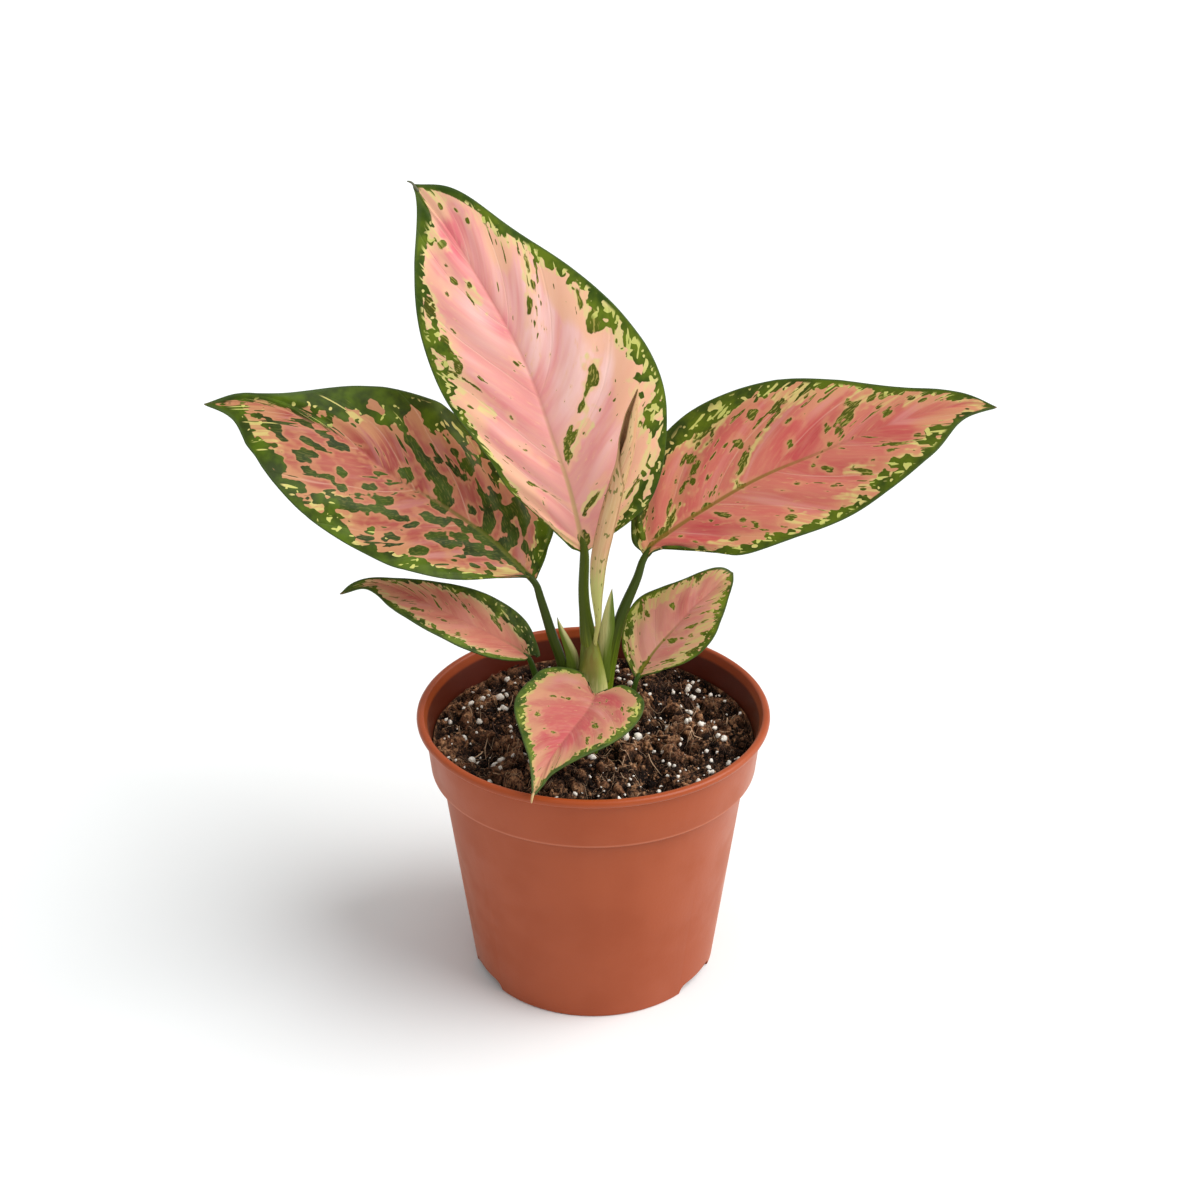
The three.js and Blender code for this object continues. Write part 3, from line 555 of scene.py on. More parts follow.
            (0.93, 1.8), (1, 0),
        ],
        "wave": (0.7, 2, 0.1, 0.5),
        "margins": (
            [80, 80, 80, 80, 80, 80, 80, 80, 80, 50, 0],
            [30, 30, 30, 40, 60, 80, 80, 80, 80, 60, 0],
        ),
        "flecks": [
            (40, 38, 13, 1.4, 0.1), (52, 40, 9, 0.8, 0.1), (64, 42, 8, 0.8, 0.1), (46, 55, 7, 0.7, 0.1),
            (85, 20, 12, 0.8), (66, -45, 10, 1, -0.1), (58, -40, 10, 1, -0.1), (74, -50, 12, 0.8, -0.1),
            (50, -60, 10, 0.8),
        ],
        "creams": [(50, 85, 15, 30), (20, 70, 30, 8), (45, -85, 12, 30)],
        "blush": [(72, 10, 30, 6)],
        "grid": (60, 110),
    },
    "leaf_lower_right": {
        "stalk": [(9, 3.4, 76), (10.6, 3, 90), (12.8, 1.8, 100), (14.6, 0.8, 108), (17.2, 2.8, 112)],
        "stalk_radii": [1.5, 1.5, 1.3, 1, 0.7],
        "path": [
            (14.6, 0.8, 109), (20.4, 5, 116.6), (27.8, 10, 123.4), (34, 16, 128), (39.6, 22, 130.2),
            (44.6, 27, 133), (48.4, 31, 133.8),
        ],
        "face": [(-0.2, -0.72, 0.66), (-0.2, -0.7, 0.66), (-0.2, -0.7, 0.66)],
        "fold": [14, 12, 8],
        "cup": [0.6, 0.8, 0.8],
        "left": [
            (0, 1), (0.04, 4.5), (0.12, 10), (0.28, 15.5), (0.46, 16), (0.65, 11), (0.81, 8), (0.96, 3.5),
            (1, 0),
        ],
        "right": [
            (0, 1), (0.05, 2.3), (0.15, 7.5), (0.29, 12), (0.46, 13.5), (0.64, 10.5), (0.8, 6.5),
            (0.92, 3.5), (1, 0),
        ],
        "wave": (0.7, 2, 0.6, 0.2),
        "margins": (
            [0, 0, 25, 45, 74, 88, 88, 88, 88, 88, 88],
            [40, 40, 60, 82, 82, 82, 82, 82, 82, 82, 82],
        ),
        "flecks": [
            (44, -75, 9, 2), (47, -60, 6, 1.2), (60, -50, 5, 0.9), (76, -78, 13, 1.4), (30, -55, 5, 1.2),
            (24, -50, 5, 1.4), (52, 40, 16, 0.6, 0.08), (60, 60, 17, 0.8, 0.1), (68, 62, 12, 0.7, 0.08),
            (44, 85, 14, 3.5), (37, 50, 20, 0.7, 0.06), (30, 30, 12, 0.8), (12, 0, 14, 24),
        ],
        "islands": [(30, -60, 12, 5)],
        "creams": [(50, 75, 26, 35), (60, -82, 18, 30), (40, -80, 20, 12), (25, 70, 40, 6)],
        "blush": [(70, -20, 30, 10), (45, 30, 25, 8)],
        "grid": (60, 110),
    },
    "leaf_front": {
        "stalk": [(0, -6.6, 76), (0.2, -8, 92), (0.6, -10.4, 102), (0.5, -12.4, 108.2), (0, -15.4, 109)],
        "stalk_radii": [1.5, 1.5, 1.3, 1, 0.7],
        "path": [
            (0.6, -12, 109.8), (-1, -18, 109.2), (-2.9, -23, 108.8), (-7.8, -34, 108), (-12.8, -45, 106.6),
            (-16.4, -54, 104.2), (-18.8, -61.5, 101.6),
        ],
        "thread": [(-18.8, -61.6, 101.5), (-19, -62.4, 100.7), (-19.1, -62.9, 99.8)],
        "face": [(0, -0.3, 0.95), (0, -0.3, 0.95), (0, -0.35, 0.94)],
        "fold": [14, 14, 16],
        "cup": [0.3, 0.6, 0.6],
        "left": [
            (0, 1), (-0.1, 8.5), (0.05, 17.5), (0.27, 18), (0.48, 15), (0.64, 10), (0.81, 3.5),
            (0.91, 2.1), (1, 0),
        ],
        "right": [
            (0, 1), (-0.17, 8.5), (-0.06, 19.5), (0.28, 22), (0.46, 19.5), (0.63, 12), (0.75, 6.5),
            (0.88, 2.5), (1, 0),
        ],
        "wave": (0.6, 2, 0.1, 0.5),
        "margins": (
            [85, 85, 85, 85, 85, 85, 85, 85, 85, 80, 60],
            [85, 85, 85, 85, 85, 85, 85, 85, 85, 80, 60],
        ),
        "flecks": [
            (47, -40, 6, 1.1, -0.1), (30, -75, 6, 1), (42, -80, 7, 1.2), (50, -74, 4, 1.2),
            (56, -60, 7, 0.8, -0.1), (34, -20, 6, 0.7), (20, 30, 6, 0.9, 0.1), (36, 45, 7, 0.9, 0.1),
            (50, 66, 5, 1.8), (60, 35, 5, 0.9),
        ],
        "creams": [(93, 0, 100, 5), (60, 90, 10, 20), (50, -92, 8, 30)],
        "blush": [(55, 10, 50, 20), (25, -30, 30, 10)],
        "grid": (72, 120),
    },
}


class Blade:
    """A leaf's upper face in mm, with the places on it of the side veins and the margins."""

    def __init__(self, leaf):
        self.leaf = leaf
        self.path = Path(leaf["path"])
        self.length = self.path.length
        self.size = min(self.length / 100, 1)
        self.outlines = [
            np.array([(x, width, root) for (x, width), root in zip(leaf[side], VEIN_ROOTS)])
            for side in ("left", "right")
        ]

    def edge(self, vein, across):
        """Where the side vein ends, as a share of the length, the half width there, and its root."""
        left, right = (spline(outline, vein) for outline in self.outlines)
        return np.where((across < 0)[:, None], left, right)

    def surface(self, vein, across, lift=0.0):
        leaf, length = self.leaf, self.length
        reach = np.abs(across)
        edge = self.edge(vein, across)
        distance = (edge[:, 2] + (edge[:, 0] - edge[:, 2]) * reach**VEIN_BEND) * length
        share = np.clip(distance / length, 0, 1)
        along = self.path.along(distance)
        point = self.path.point(distance) + along * np.minimum(distance, 0)[:, None]
        right = unit(np.cross(along, lerp_row(leaf["face"], share)))
        up = np.cross(right, along)
        width = np.maximum(edge[:, 1], 0) * reach
        fold = np.radians(lerp_row(leaf["fold"], share))
        cup = np.radians(lerp_row(leaf["cup"], share))
        turned = fold - cup * width
        out = (np.sin(fold) - np.sin(turned)) / cup
        rise = (np.cos(turned) - np.cos(fold)) / cup
        fade = np.sin(math.pi * vein)
        height, count, left_start, right_start = leaf["wave"]
        start = np.where(across < 0, left_start, right_start)
        wave = height * np.sin(2 * math.pi * (count * vein + start)) * reach**2 * fade
        rise = rise + wave + self.relief(vein, reach, width, fade) + lift
        return point + right * (np.sign(across) * out)[:, None] + up * rise[:, None]

    def relief(self, vein, reach, width, fade):
        """The quilting between the side veins and the sunk midrib."""
        swell = np.cos(2 * math.pi * QUILT_COUNT * (vein - VEIN_SWEEP * reach))
        quilt = QUILT_HEIGHT * self.size**2 * swell * fade * np.sin(math.pi * reach)
        groove = np.exp(-((width / MIDRIB_WIDTH) ** 2))
        return quilt - MIDRIB_SINK * self.size * groove

    def patches(self, vein, across, listed):
        """How many mm a point lies inside the nearest of the listed patches."""
        field = np.full(len(vein), FAR_OUT)
        for v, side, long, wide, *tilt in listed:
            aside = 100 * across - side
            beyond = 100 * vein - v - sum(tilt) * aside
            inside = 1 - np.hypot(aside / long, beyond / wide)
            field = np.maximum(field, inside * min(long * 0.25, wide * 0.0085 * self.length))
        return field

    def margin_green(self, vein, across):
        """How many mm a point lies inside the green margin, below zero in the pink."""
        half = np.maximum(self.edge(vein, across)[:, 1], 1)
        left, right = (lerp_row(row, vein) / 100 for row in self.leaf["margins"])
        field = (np.abs(across) - np.where(across < 0, left, right)) * half
        field = np.maximum(field, (vein - TIP_GREEN) * self.length)
        field = np.minimum(field, -self.patches(vein, across, self.leaf.get("islands", [])))
        return np.clip(field, -MARGIN_REACH, MARGIN_REACH)


def blade_piece(name, leaf):
    """A leaf's blade with its thickness, its upper face in the first material."""
    blade = Blade(leaf)

    def spread(u):
        """The place across the blade, from -1 at the left margin to 1 at the right one."""
        across = 2 * u - 1
        return across - COLUMN_SWAY * np.sin(2 * math.pi * across) / (2 * math.pi)

    piece, u, v = grid_piece(name, *leaf["grid"], lambda u, v: blade.surface(v, spread(u)))
    across = spread(u)
    edge = blade.edge(v, across)
    half = np.maximum(edge[:, 1], 0)
    reach = np.abs(across)
    along = (edge[:, 2] - VEIN_SWEEP * reach) * blade.length
    set_uv(piece, "blade", across * half * UV_SCALE, along * UV_SCALE)
    set_attribute(piece, "margin", blade.margin_green(v, across))
    for kind in ("flecks", "creams", "blush", "peaches", "pales"):
        set_attribute(piece, kind, blade.patches(v, across, leaf.get(kind, [])))
    set_attribute(piece, "rim", (1 - reach) * half)
    set_attribute(piece, "vein", v - VEIN_SWEEP * reach)
    return thicken(piece, BLADE_THICKNESS, material_offset=1, material_offset_rim=0)


def tip_piece(name, leaf):
    """The thread that the blade's tip is drawn out into."""
    blade = Blade(leaf)
    start = blade.path.point(np.array(THREAD_START) * blade.length)
    path = [tuple(point) for point in start] + leaf["thread"]
    return tube(name, path, THREAD_RADII, sides=10, steps=16)


def stalk_piece(name, leaf):
    """The stalk and, in one with it, the midrib's ridge under the blade."""
    blade = Blade(leaf)
    shares = np.linspace(*RIDGE_RUN, 10)
    ridge = RIDGE_RADIUS * blade.size**0.5 * (1 - shares) + RIDGE_END
    veins = np.interp(shares, VEIN_ROOTS, np.linspace(0, 1, len(VEIN_ROOTS)))
    under = blade.surface(veins, np.zeros(len(veins)), -(ridge + RIDGE_GAP))
    path = list(leaf["stalk"][:-1]) + [tuple(point) for point in under]
    foot = Path(leaf["stalk"]).length
    whole = Path(path).length
    reach = np.linspace(0, whole, 80)
    thick = lerp_row(leaf["stalk_radii"], reach / foot)
    thin = np.interp((reach - foot) / (whole - foot), [0, 1], [ridge[0], ridge[-1]])
    return tube(name, path, np.where(reach < foot, thick, thin), steps=120)


# Materials.


def srgb(red, green, blue):
    """A colour given as 0 to 255, as linear light."""
    def linear(value):
        value /= 255
        return value / 12.92 if value <= 0.04045 else ((value + 0.055) / 1.055) ** 2.4

    return (linear(red), linear(green), linear(blue), 1)


class Graph:
    """Adds and links shader nodes."""

    def __init__(self, tree):
        self.tree = tree
        self.count = 0

    def link(self, socket, value):
        """Gives a socket a value or another node's output."""
        if isinstance(value, bpy.types.NodeSocket):
            self.tree.links.new(value, socket)
        else:
            socket.default_value = value

    def add(self, kind, inputs=(), **settings):
        node = self.tree.nodes.new(kind)
        self.count += 1
        node.location = (180 * (self.count % 12), -220 * (self.count // 12))
        for key, value in settings.items():
            setattr(node, key, value)
        for key, value in dict(inputs).items():
            self.link(node.inputs[key], value)
        return node

    def math(self, operation, *values):
        return self.add("ShaderNodeMath", enumerate(values), operation=operation).outputs[0]

    def times(self, first, second, plus=None):
        """Two numbers multiplied, with a third added if there is one."""
        if plus is None:
            return self.math("MULTIPLY", first, second)
        return self.math("MULTIPLY_ADD", first, second, plus)

    def plus(self, first, second):
        return self.math("ADD", first, second)

    def minus(self, first, second):
        return self.math("SUBTRACT", first, second)

    def most(self, first, second):
        return self.math("MAXIMUM", first, second)

    def vectors(self, operation, inputs, output="Vector"):
        return self.add("ShaderNodeVectorMath", inputs, operation=operation).outputs[output]

    def remap(self, value, low, high, out_low=0.0, out_high=1.0):
        """Eases a number from one range into another."""
        inputs = {"Value": value, "From Min": low, "From Max": high, "To Min": out_low, "To Max": out_high}
        return self.add("ShaderNodeMapRange", inputs, interpolation_type="SMOOTHSTEP").outputs["Result"]

    def mix(self, factor, first, second):
        """Blends two colours."""
        node = self.add("ShaderNodeMix", data_type="RGBA")
        sockets = {socket.name: socket for socket in node.inputs if socket.enabled}
        for key, value in {"Factor": factor, "A": first, "B": second}.items():
            self.link(sockets[key], value)
        return next(socket for socket in node.outputs if socket.enabled)

    def noise(self, vector, scale, detail=3.0, rough=0.5, distortion=0.0):
        inputs = {"Vector": vector, "Scale": scale, "Detail": detail, "Roughness": rough,
                  "Distortion": distortion}
        return self.add("ShaderNodeTexNoise", inputs).outputs["Fac"]

    def stretch(self, vector, scale, place=(0.0, 0.0, 0.0)):
        inputs = {"Vector": vector, "Scale": scale, "Location": place}
        return self.add("ShaderNodeMapping", inputs).outputs["Vector"]

    def place(self):
        """The place on the piece, in metres."""
        return self.add("ShaderNodeTexCoord").outputs["Object"]

    def blade(self):
        """The place across and along a leaf or a bar."""
        return self.add("ShaderNodeUVMap", uv_map="blade").outputs[0]

    def stored(self, name):
        return self.add("ShaderNodeAttribute", attribute_name=name).outputs["Fac"]

    def axes(self, vector):
        return self.add("ShaderNodeSeparateXYZ", {0: vector}).outputs


class Skin(Graph):
    """A material with one Principled shader, whose constant values are set on its own sockets."""

    def __init__(self, name, **values):
        self.material = bpy.data.materials.new(name)
        self.material.use_nodes = True
        super().__init__(self.material.node_tree)
        self.sockets = next(n for n in self.tree.nodes if n.type == "BSDF_PRINCIPLED").inputs
        for key, value in values.items():
            self.sockets[key.replace("_", " ").title().replace("Ior", "IOR")].default_value = value

    def finished(self, colour, height=None, strength=0.0, depth=0.0):
        """The material with this colour and with bumps of this depth in metres."""
        self.link(self.sockets["Base Color"], colour)
        if height is not None:
            inputs = {"Height": height, "Strength": strength, "Distance": depth}
            self.link(self.sockets["Normal"], self.add("ShaderNodeBump", inputs).outputs[0])
        return self.material


def new_group(name, inputs, outputs):
    """A shader node group with these sockets, each given as name, kind and default."""
    group = bpy.data.node_groups.new(name, "ShaderNodeTree")
    for title, kind, default in inputs:
        socket = group.interface.new_socket(title, in_out="INPUT", socket_type=f"NodeSocket{kind}")
        if default is not None:
            socket.default_value = default
    for title, kind in outputs:
        group.interface.new_socket(title, in_out="OUTPUT", socket_type=f"NodeSocket{kind}")
    graph = Graph(group)
    return graph, graph.add("NodeGroupInput").outputs, graph.add("NodeGroupOutput").inputs


def group_node(graph, name, inputs):
    """Places a node group with its values."""
    node = graph.add("ShaderNodeGroup", node_tree=bpy.data.node_groups[name])
    for key, value in inputs.items():
        graph.link(node.inputs[key], value)
    return node.outputs


def variegation_group():
    """Pink with cream borders, broken by ragged green that runs along the side veins."""
    colours = [
        ("Pink", "Color", srgb(236, 160, 150)), ("Deep Pink", "Color", srgb(226, 112, 118)),
        ("Peach", "Color", srgb(238, 182, 148)), ("Cream", "Color", srgb(226, 212, 140)),
        ("Green", "Color", srgb(82, 104, 12)), ("Dark Green", "Color", srgb(44, 64, 8)),
        ("Midrib", "Color", srgb(150, 122, 66)), ("Inner", "Color", srgb(80, 78, 16)),
    ]
    numbers = [
        ("Blade", "Vector", None), ("Place", "Vector", None), ("Margin", "Float", 0.0),
        ("Fleck", "Float", 0.0), ("Rim", "Float", 9.0), ("Vein", "Float", 0.5),
        ("Width", "Float", 20.0), ("Shift", "Float", 0.0), ("Ragged", "Float", 1.0),
        ("Flecks", "Float", 0.5), ("Dots", "Float", 0.5), ("Cream Edge", "Float", 0.5),
        ("Midrib Reach", "Float", 0.5), ("Cream Patch", "Float", FAR_OUT), ("Blush", "Float", FAR_OUT),
        ("Peach Patch", "Float", FAR_OUT), ("Pale Patch", "Float", FAR_OUT),
        ("Fleck Scale", "Float", 40.0), ("Loose", "Float", 0.25), ("Olive", "Float", 0.7),
        ("Solid Rim", "Float", 0.5), ("Grain", "Float", 1.0), ("Warmth", "Float", 0.0),
        ("Pale", "Float", 0.2), ("Mottle", "Float", 0.75),
    ]
    outputs = [("Color", "Color"), ("Height", "Float")]
    g, given, result = new_group("leaf_variegation", numbers + colours, outputs)
    shift = g.add("ShaderNodeCombineXYZ", {"Z": given["Shift"]}).outputs[0]
    sized = g.vectors("SCALE", {0: given["Blade"], "Scale": given["Grain"]})
    plain = g.vectors("ADD", {0: sized, 1: shift})
    # The place on the piece, in the same units of 100 mm, for what doesn't follow the veins.
    spot = g.vectors("SCALE", {0: given["Place"], "Scale": g.times(given["Grain"], 10.0)})
    along = g.stretch(plain, (0.42, 1.0, 1.0))
    long = g.stretch(plain, (0.24, 1.0, 1.0), (3.1, 1.7, 0.0))

    def swing(vector, scale, detail, height):
        """Noise that swings about 0."""
        return g.times(g.minus(g.noise(vector, scale, detail, 0.6), 0.5), height)

    # The margin, broken up into blobs, with the listed and the scattered flecks.
    blobs = swing(g.stretch(plain, (0.55, 1.0, 1.0)), 26.0, 1.0, 8.0)
    blobs = g.plus(swing(spot, 27.0, 1.0, 10.5), blobs)
    broad = swing(spot, 11.0, 1.0, 7.0)
    fine = swing(g.stretch(plain, (0.6, 1.0, 1.0), (1.9, 0.3, 0.0)), 90.0, 1.5, 0.7)
    rough = g.plus(g.plus(blobs, broad), fine)
    margin = g.times(rough, given["Ragged"], given["Margin"])
    solid = g.times(given["Solid Rim"], g.remap(given["Vein"], 0.72, 0.88, 1.0, 0.35))
    solid = g.times(fine, 0.4, g.minus(solid, given["Rim"]))
    margin = g.most(margin, solid)
    listed = g.times(given["Loose"], g.plus(blobs, broad), given["Fleck"])
    listed = g.times(fine, 0.8, listed)
    cluster = swing(along, 7.0, 2.0, 0.5)
    level = g.times(given["Flecks"], -0.2, 0.76)
    near = g.remap(given["Margin"], -9.0, 0.0, 0.0, 0.06)
    speckle = g.noise(g.stretch(plain, (0.7, 1.0, 1.0), (5.1, 0.8, 0.0)), given["Fleck Scale"], 1.5, 0.5)
    lift = g.plus(g.plus(cluster, near), speckle)
    lift = g.minus(lift, g.remap(given["Vein"], 0.72, 0.88, 0.0, 0.12))
    scattered = g.times(g.minus(lift, level), 12.0)
    flecks = g.most(listed, g.plus(scattered, fine))
    field = g.most(margin, flecks)
    green = g.remap(field, -0.1, 0.12)
    halo = g.remap(field, -1.4, -0.1, 0.0, 0.6)

    # The pink, deeper in places, paler in streaks along the veins as painted sheen, and peach towards the
    # margin.
    blush = g.remap(g.noise(along, 8.0, 3.0, 0.55), 0.4, 0.66)
    deep = g.times(g.remap(given["Blush"], -1.5, 2.5), 0.7, g.times(blush, 0.55))
    colour = g.mix(g.math("MINIMUM", deep, 1.0), given["Pink"], given["Deep Pink"])
    # Painted sheen: whitish pink streaks, stronger in the listed pale patches, where the blade catches the
    # light.
    pale = g.remap(g.noise(long, 13.0, 3.0, 0.5, 0.3), 0.5, 0.72)
    streaks = g.remap(g.noise(long, 10.0, 3.0, 0.6), 0.36, 0.62, 0.15, 1.2)
    patch = g.times(g.remap(given["Pale Patch"], -3.0, 8.0, 0.0, 0.62), streaks)
    pale = g.times(pale, given["Pale"], patch)
    colour = g.mix(g.math("MINIMUM", pale, 1.0), colour, srgb(250, 208, 200))
    warm = g.times(given["Margin"], 0.06, given["Warmth"])
    warm = g.plus(warm, g.noise(along, 10.0, 3.0, 0.5))
    warm = g.plus(warm, g.remap(given["Peach Patch"], -4.0, 3.0, 0.0, 0.42))
    colour = g.mix(g.remap(warm, 0.2, 0.5, 0.0, 0.85), colour, given["Peach"])
    ribs = g.math("FRACT", g.times(given["Vein"], float(QUILT_COUNT)))
    ribs = g.math("ABSOLUTE", g.plus(g.minus(ribs, 0.5), swing(along, 18.0, 2.0, 0.1)))
    line = g.remap(ribs, 0.0, 0.03, 1.0, 0.0)
    seen = g.remap(g.noise(along, 14.0, 1.0), 0.4, 0.6, 0.05, 0.3)
    seen = g.math("DIVIDE", seen, g.math("POWER", g.most(given["Grain"], 1.0), 3.0))
    colour = g.mix(g.times(line, seen), colour, srgb(246, 210, 184))
    mottle = g.noise(along, 60.0, 3.0, 0.6)
    colour = g.mix(g.remap(mottle, 0.4, 0.7, 0.0, 0.25), colour, given["Peach"])

    # Cream where the green breaks up.
    border = g.times(given["Ragged"], g.plus(swing(along, 26.0, 2.0, 8.0), broad))
    zone = g.plus(g.times(given["Cream Edge"], 3.0, given["Margin"]), border)
    edge = g.remap(zone, -0.5, 0.7)
    patch = g.remap(g.times(blobs, 0.5, given["Cream Patch"]), -0.6, 0.5)
    tint = g.mix(g.remap(g.noise(along, 40.0, 2.0), 0.4, 0.6), given["Peach"], given["Cream"])
    colour = g.mix(halo, colour, given["Peach"])
    colour = g.mix(g.times(g.most(edge, patch), 0.85), colour, tint)

    # The green, with pale dots where it nears the pink.
    tone = g.remap(g.noise(spot, 11.0, 3.0, 0.6), 0.34, 0.68)
    leafy = g.mix(tone, given["Dark Green"], given["Green"])
    olive = g.mix(g.times(tone, 0.35), given["Inner"], given["Green"])
    freckles = g.noise(g.stretch(plain, (0.8, 1.0, 1.0), (4.7, 2.9, 0.0)), 120.0, 1.0)
    freckles = g.times(g.remap(freckles, 0.54, 0.6), given["Mottle"])
    olive = g.mix(freckles, olive, srgb(192, 172, 92))
    inside = g.remap(margin, -0.4, 0.4, given["Olive"], 0.0)
    leafy = g.mix(inside, leafy, olive)
    dots = g.noise(g.stretch(plain, (0.8, 1.0, 1.0), (1.1, 6.2, 0.0)), 42.0, 1.0, 0.5)
    dots = g.most(dots, g.noise(g.stretch(spot, (1.0, 1.0, 1.0), (7.3, 2.2, 0.0)), 38.0, 1.0))
    dot_level = g.times(given["Dots"], -0.2, 0.78)
    middle = g.times(g.remap(given["Margin"], 9.0, 4.0), g.remap(given["Rim"], 0.8, 1.6))
    middle = g.times(middle, g.remap(given["Margin"], -3.0, -1.0, 0.0, 1.0))
    dotted = g.times(g.remap(g.minus(dots, dot_level), 0.0, 0.02), middle)
    leafy = g.mix(dotted, leafy, g.mix(tone, given["Cream"], srgb(196, 198, 104)))
    colour = g.mix(green, colour, leafy)

    # The thin dark rim and the midrib.
    colour = g.mix(g.remap(given["Rim"], 0.2, 0.6, 0.7, 0.0), colour, srgb(66, 84, 40))
    slim = g.times(given["Vein"], -1.5, 1.9)
    slim = g.math("DIVIDE", g.most(slim, 0.4), given["Grain"])
    midrib = g.remap(g.math("DIVIDE", given["Width"], slim), 0.25, 0.8, 1.0, 0.0)
    midrib = g.times(midrib, g.remap(given["Vein"], 0.86, 0.95, 1.0, 0.0))
    fade = g.remap(g.minus(given["Vein"], given["Midrib Reach"]), -0.1, 0.15)
    rib = g.mix(fade, given["Midrib"], g.mix(0.3, colour, srgb(196, 116, 104)))
    colour = g.mix(g.times(midrib, 0.85), colour, rib)

    cells = g.noise(along, 150.0, 3.0, 0.6)
    height = g.plus(g.times(cells, 0.2), g.times(line, -0.5))
    g.link(result["Color"], colour)
    g.link(result["Height"], height)


LEAF_FIELDS = {
    "Margin": "margin", "Fleck": "flecks", "Cream Patch": "creams", "Blush": "blush", "Rim": "rim",
    "Vein": "vein", "Peach Patch": "peaches", "Pale Patch": "pales",
}


def leaf_material(name, under=False, **values):
    """A leaf's face: glossy above, duller and paler below."""
    g = Skin(
        name, roughness=0.6 if under else 0.5, coat_weight=0.0 if under else 0.03,
        coat_roughness=0.2, specular_ior_level=0.14,
    )
    blade = g.blade()
    width = g.times(g.math("ABSOLUTE", g.axes(blade)["X"]), 1 / UV_SCALE)
    inputs = {"Blade": blade, "Place": g.place(), "Width": width}
    inputs.update((title, g.stored(key)) for title, key in LEAF_FIELDS.items())
    inputs.update((key.replace("_", " ").title(), value) for key, value in values.items())
    out = group_node(g, "leaf_variegation", inputs)
    colour = out["Color"]
    if under:
        colour = g.mix(0.35, colour, srgb(196, 190, 150))
    return g.finished(colour, out["Height"], 0.35, 0.0004)


def stalk_material(name, foot, body, streak, turn=(0.095, 0.145)):
    """A smooth stalk, paler at the foot up to these heights in metres, with streaks along it."""
    g = Skin(name, roughness=0.42, coat_weight=0.04, coat_roughness=0.25, specular_ior_level=0.16)
    streaks = g.remap(g.noise(g.stretch(g.blade(), (9.0, 1.2, 1.0)), 3.0, 3.0, 0.6), 0.35, 0.68)
    wander = g.times(streaks, 0.008, g.axes(g.place())["Z"])
    colour = g.mix(g.remap(wander, *turn), foot, body)
    colour = g.mix(g.times(streaks, 0.5), colour, streak)
    return g.finished(colour, streaks, 0.15, 0.0003)


def crown_material():
    """Pale yellow green at the soil, greener above, with a brownish streak down the front."""
    g = Skin("crown_skin", roughness=0.45, specular_ior_level=0.25)
    place = g.place()
    axes = g.axes(place)
    grain = g.noise(g.stretch(place, (900.0, 900.0, 60.0)), 1.0, 3.0, 0.6)
    rise = g.times(grain, 0.01, axes["Z"])
    colour = g.mix(g.remap(rise, 0.106, 0.122), srgb(224, 220, 146), srgb(132, 140, 48))
    colour = g.mix(g.remap(g.times(axes["X"], -1.6, rise), 0.118, 0.13), colour, srgb(74, 88, 10))
    across = g.math("ABSOLUTE", g.plus(axes["X"], 0.0004))
    streak = g.times(g.remap(across, 0.0008, 0.0032, 1.0, 0.0), g.remap(rise, 0.108, 0.118))
    streak = g.times(streak, g.remap(rise, 0.132, 0.122))
    colour = g.mix(g.times(streak, 0.6), colour, srgb(124, 100, 50))
    colour = g.mix(g.remap(grain, 0.4, 0.66, 0.0, 0.35), colour, srgb(140, 156, 70))
    return g.finished(colour, grain, 0.2, 0.0004)


# How far the sheaths' UV map runs, in 100 mm, whatever their length.
SHEATH_TIP = 0.35
SHEATH_GRID = (24, 40)
SHEATH_THICKNESS = 0.6
SHEATH_SHAPE = {"fold": [-20, -20], "cup": [6, 6], "wave": (0, 1, 0, 0)}

# The sheaths, written as the leaves are.
SHEATHS = {
    "leaf_left": {
        "path": [
            (-5.4, 1, 98), (-5.9, 1, 108), (-6.8, 1, 116.5), (-8.8, 1.3, 122.4), (-10.4, 1.5, 126.6),
            (-12, 1.6, 131.5),
        ],
        "face": [(0.2, -1, 0.1), (0.2, -1, 0.1)],
        "left": [
            (0, 3.4), (0.12, 3.5), (0.25, 3.5), (0.4, 3.1), (0.55, 2.5), (0.7, 1.8), (0.82, 1.3),
            (0.92, 0.8), (1, 0),
        ],
        "right": [
            (0, 1.6), (0.12, 1.8), (0.25, 2), (0.4, 2.2), (0.55, 2.3), (0.7, 1.7), (0.82, 1.1),
            (0.92, 0.5), (1, 0),
        ],
    },
    "leaf_right": {
        "path": [(3.4, -0.9, 108), (3.8, -0.6, 120), (4.6, -0.2, 129), (5.3, 0.3, 136), (6.2, 1, 142.6)],
        "face": [(-0.2, -1, 0.1), (-0.2, -1, 0.1)],
        "left": [
            (0, 3.2), (0.12, 3.4), (0.25, 3.5), (0.4, 3.4), (0.55, 3), (0.7, 2.2), (0.82, 1.4),
            (0.92, 0.7), (1, 0),
        ],
        "right": [
            (0, 2), (0.12, 2.6), (0.25, 3), (0.4, 3), (0.55, 2.8), (0.7, 2.4), (0.82, 1.6),
            (0.92, 0.8), (1, 0),
        ],
    },
}

# The new leaf, still rolled up. `edge` is where its free edge lies round the roll, in degrees, and
# `turns` how far it winds on from there: less than one leaves it open.
ROLL_GRID = (100, 120)
ROLL_THICKNESS = 0.28
ROLL = {
    "path": [
        (0.4, 0.2, 120.5), (1, -0.8, 126), (1.7, -1.6, 132), (1.4, -2, 143), (2, -2.4, 154),
        (4, -2.6, 165), (6.1, -2.6, 174.5), (8, -2.6, 182), (10.2, -2, 190.5), (11.4, -1.4, 199),
        (12.6, -0.6, 206), (14.2, 0, 213.2),
    ],
    "radii": [0.7, 0.9, 1.7, 2.7, 3.2, 3.4, 3.35, 3.1, 2.7, 3, 2.2, 0.3],
    "edge": [318] * 8 + [312, 225, 200, 195, 195],
    "turns": [1.5] * 8 + [1.45, 1.05, 0.86, 0.84, 0.8],
}


